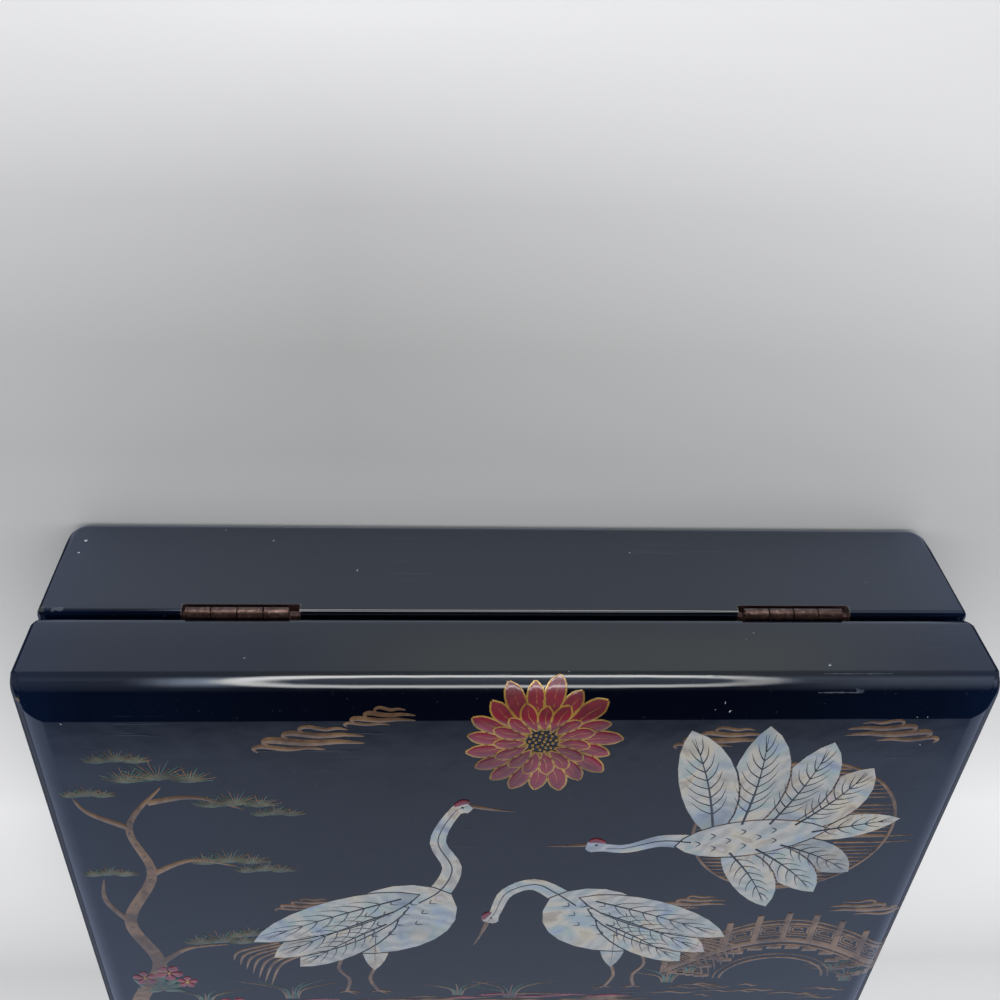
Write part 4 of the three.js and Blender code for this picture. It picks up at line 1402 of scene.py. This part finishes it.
def paper_seen(add, where, off_shadow):
    """The paper as the camera sees it, with painted shade from front to back, paler to the sides."""
    length = PAPER_BACK - PAPER_FRONT
    span = {"Value": where["Y"], "From Min": PAPER_FRONT, "From Max": PAPER_BACK}
    depth = add("MapRange", span).outputs["Result"]
    painted_shade_stops = [
        ((y - PAPER_FRONT) / length, rgb(tone, tone * green, tone * blue))
        for y, tone, green, blue in PAPER_PAINTED_SHADE
    ]
    slopes = [((y - PAPER_FRONT) / length, rgb(slope, slope, slope)) for y, slope in PAPER_SLOPES]
    slope = math_of(add, "MULTIPLY_ADD", ramp_of(add, depth, slopes), 4.0, -0.6)
    paler = math_of(add, "MULTIPLY_ADD", math_of(add, "MINIMUM", off_shadow, 0.22), slope, 0.95)
    shade = ramp_of(add, depth, painted_shade_stops)
    return add("VectorMath", {0: shade, "Scale": paler}, operation="SCALE").outputs[0]


def make_floor():
    """Pale paper with painted shade. What the gloss mirrors of it is painted: bluer at the ends, darker
    beyond the lid and beside the box.
    """
    let_go()
    bpy.ops.mesh.primitive_plane_add(size=12, location=(0, 0, 0))
    floor = named("studio_floor")
    finish, add, feed, place = new_finish("pale_paper")
    where = add("SeparateXYZ", {"Vector": place}).outputs
    off_shadow = unsigned(add, plus(add, where["X"], 0.045))
    off_glow = unsigned(add, minus(add, where["X"], 0.035))
    off_middle = unsigned(add, where["X"])
    far_back = stepped(add, where["Y"], 0.146, 0.168)
    far = larger(add, far_back, stepped(add, off_shadow, 0.17, 0.3, 0.0, 0.6))
    lidward = stepped(add, where["Y"], 0.11, 0.135)
    glow = times(add, stepped(add, off_glow, 0.04, 0.11, 1.0, 0.0), lidward)
    ends = blended(add, lidward, rgb(0.79, 0.89, 1.06), rgb(0.63, 0.71, 0.88))
    near = blended(add, glow, ends, rgb(0.92, 1.0, 0.98))
    beyond = blended(add, stepped(add, off_glow, 0.09, 0.17), rgb(0.4, 0.44, 0.48), rgb(0.27, 0.32, 0.41))
    mirrored = blended(add, far, near, beyond)
    # Painted shade in what the gloss mirrors beside the box.
    beside = stepped(add, minus(add, off_middle, where["Y"]), 0.038, 0.045)
    painted_shade_beside = blended(add, stepped(add, off_middle, 0.2, 0.32), rgb(0.07, 0.08, 0.1), rgb(0.22, 0.24, 0.28))
    mirrored = blended(add, beside, mirrored, painted_shade_beside)
    rays = add("LightPath").outputs
    unseen = blended(add, rays["Is Glossy Ray"], rgb(0.78, 0.86, 0.95), mirrored)
    feed("Base Color", blended(add, rays["Is Camera Ray"], unseen, paper_seen(add, where, off_shadow)))
    feed("Roughness", 0.9)
    feed("Specular IOR Level", 0.1)
    coat(floor, finish)


def make_world():
    """An evenly pale room, which the gloss mirrors darker overhead and brightest low in front of the box."""
    world = bpy.data.worlds.new("studio_room")
    bpy.context.scene.world = world
    world.use_nodes = True
    add = node_adder(world.node_tree)
    where = add("SeparateXYZ", {"Vector": add("TexCoord").outputs["Generated"]}).outputs
    turn = math_of(add, "ARCTAN2", where["Z"], where["Y"])
    rises = stepped(add, turn, math.radians(26), math.radians(36))
    falls = stepped(add, turn, math.radians(136), math.radians(141))
    behind = blended(add, rises, rgb(0.05, 0.058, 0.08), rgb(0.004, 0.007, 0.016))
    mirrored = blended(add, falls, behind, rgb(0.27, 0.32, 0.43))
    rays = add("LightPath").outputs
    room = blended(add, rays["Is Glossy Ray"], rgb(0.3, 0.31, 0.33), mirrored)
    sky = world.node_tree.nodes["Background"].inputs
    plug(sky["Color"], blended(add, rays["Is Camera Ray"], room, rgb(0.36, 0.36, 0.365)))
    plug(sky["Strength"], 2.0)


def area_lamp(name, place, target, width, height, glow, gloss=False):
    """A flat lamp of a given brightness. A gloss lamp is seen only in what is polished."""
    let_go()
    bpy.ops.object.light_add(type="AREA", location=place)
    lamp = bpy.context.object
    lamp.name = name
    lamp.data.shape = "RECTANGLE"
    lamp.data.size = width
    lamp.data.size_y = height
    lamp.data.energy = 4 * width * height * glow
    lamp.rotation_euler = (Vector(target) - Vector(place)).to_track_quat("-Z", "Y").to_euler()
    lamp.visible_camera = False
    lamp.visible_glossy = gloss
    lamp.visible_diffuse = not gloss
    return lamp


# The panel of light behind the box, and the back of the lid that mirrors it
RING_LEFT = -0.392
RING_RIGHT = 0.408
RING_FOOT = 0.002
RING_HEAD = 0.24
RING_HALF_LENGTH = 0.1
RING_LAMP_Y = 0.232
LID_BACK_Y = 0.082
ROUND_MIDDLE_Z = 0.057


def shape_ring(lamp):
    """Lets only a long soft ring of the lamp shine, in a faint halo, for the lid's rounded edge to mirror."""
    lamp.data.use_nodes = True
    tree = lamp.data.node_tree
    add = node_adder(tree)
    spot = add("SeparateXYZ", {"Vector": add("NewGeometry").outputs["Parametric"]}).outputs
    span = times(add, minus(add, spot["X"], 0.5), (RING_RIGHT - RING_LEFT) / RING_HALF_LENGTH)
    up = minus(add, times(add, spot["Y"], RING_HEAD - RING_FOOT), ROUND_MIDDLE_Z - RING_FOOT)
    turn = math_of(add, "ARCTAN2", up, RING_LAMP_Y - LID_BACK_Y)
    tall = math_of(add, "DIVIDE", minus(add, turn, math.radians(1.5)), math.radians(17.8))
    from_middle = unsigned(add, span)
    length_part = math_of(add, "POWER", from_middle, 5.0)
    height_part = math_of(add, "POWER", unsigned(add, tall), 2.0)
    reach = math_of(add, "SQRT", plus(add, height_part, length_part))

    ring = stepped(add, unsigned(add, minus(add, reach, 1.0)), 0.04, 0.4, 1.0, 0.0)
    ring = times(add, ring, stepped(add, span, -1.25, -0.5, 0.14, 1.0))
    ring = times(add, ring, stepped(add, span, 0.8, 1.4, 1.0, 0.1))
    ring = times(add, ring, stepped(add, tall, -0.6, 0.6, 1.0, 0.72))

    inner = stepped(add, unsigned(add, plus(add, tall, 0.1)), 0.35, 1.1, 0.06, 0.0)
    rise = stepped(add, tall, -1.3, -0.2, 0.0, 0.085)
    fall = stepped(add, tall, 0.1, 2.1, 1.0, 0.0)
    tail = times(add, times(add, rise, fall), stepped(add, from_middle, 0.9, 1.5))
    haze = times(add, larger(add, inner, tail), stepped(add, span, 1.1, 1.4, 1.0, 0.25))

    tip = stepped(add, unsigned(add, minus(add, tall, 0.1)), 0.1, 1.2, 0.3, 0.0)
    tip = times(add, tip, stepped(add, span, 0.85, 1.1))
    tip = times(add, tip, stepped(add, span, 1.1, 1.45, 1.0, 0.0))

    emission = tree.nodes["Emission"].inputs
    plug(emission["Strength"], plus(add, ring, plus(add, haze, tip)))
    tint = blended(add, stepped(add, ring, 0.0, 0.25), rgb(0.72, 0.86, 1.1), rgb(1.0, 1.0, 1.0))
    plug(emission["Color"], tint)


# Each soft lamp's place, width, height and glow
SOFT_LAMPS = {
    "overhead_lamp": ((0.1, 0.35, 1.3), 1.6, 1.2, 1.2),
    "left_lamp": ((-1.2, 0.2, 0.7), 0.9, 0.9, 0.9),
    "right_lamp": ((1.2, 0.1, 0.8), 0.9, 0.9, 0.9),
}
LAMP_TARGET = (0, 0.03, 0.05)
RING_GLOW = 10.5


def make_lamps():
    """Three soft lamps for what is dull, and the long ring that the lid's rounded edge mirrors."""
    for name, (place, width, height, glow) in SOFT_LAMPS.items():
        area_lamp(name, place, LAMP_TARGET, width, height, glow)
    middle_x = (RING_LEFT + RING_RIGHT) / 2
    middle_z = (RING_FOOT + RING_HEAD) / 2
    width = RING_RIGHT - RING_LEFT
    height = RING_HEAD - RING_FOOT
    place = (middle_x, RING_LAMP_Y, middle_z)
    aim = (middle_x, LID_BACK_Y, middle_z)
    shape_ring(area_lamp("ring_lamp", place, aim, width, height, RING_GLOW, gloss=True))


# The camera, as it was fitted to the photograph
CAMERA_PLACE = Vector((-21.86, 274.30, 243.29)) * MM
CAMERA_FORWARD = Vector((0.06353, -0.60008, -0.79741))
CAMERA_RIGHT = Vector((0.99684, 0, 0.07942))
CAMERA_ROLL = 0.0566
CAMERA_LENS = 39.595


def make_camera():
    forward = CAMERA_FORWARD.normalized()
    level = (CAMERA_RIGHT - forward * CAMERA_RIGHT.dot(forward)).normalized()
    upward = level.cross(forward)
    right = level * math.cos(CAMERA_ROLL) + upward * math.sin(CAMERA_ROLL)
    up = right.cross(forward)
    let_go()
    bpy.ops.object.camera_add(location=CAMERA_PLACE)
    camera = bpy.context.object
    camera.name = "photo_camera"
    camera.rotation_euler = Matrix((right, up, -forward)).transposed().to_euler()
    camera.data.lens = CAMERA_LENS
    camera.data.sensor_width = 36
    camera.data.clip_start = 0.01
    bpy.context.scene.camera = camera


make_camera()
make_carcass()
make_hinges()
make_lining()
make_mirror_set()
polish_plates()
paint_picture()
make_floor()
make_world()
make_lamps()
bpy.context.scene.view_settings.view_transform = "Standard"
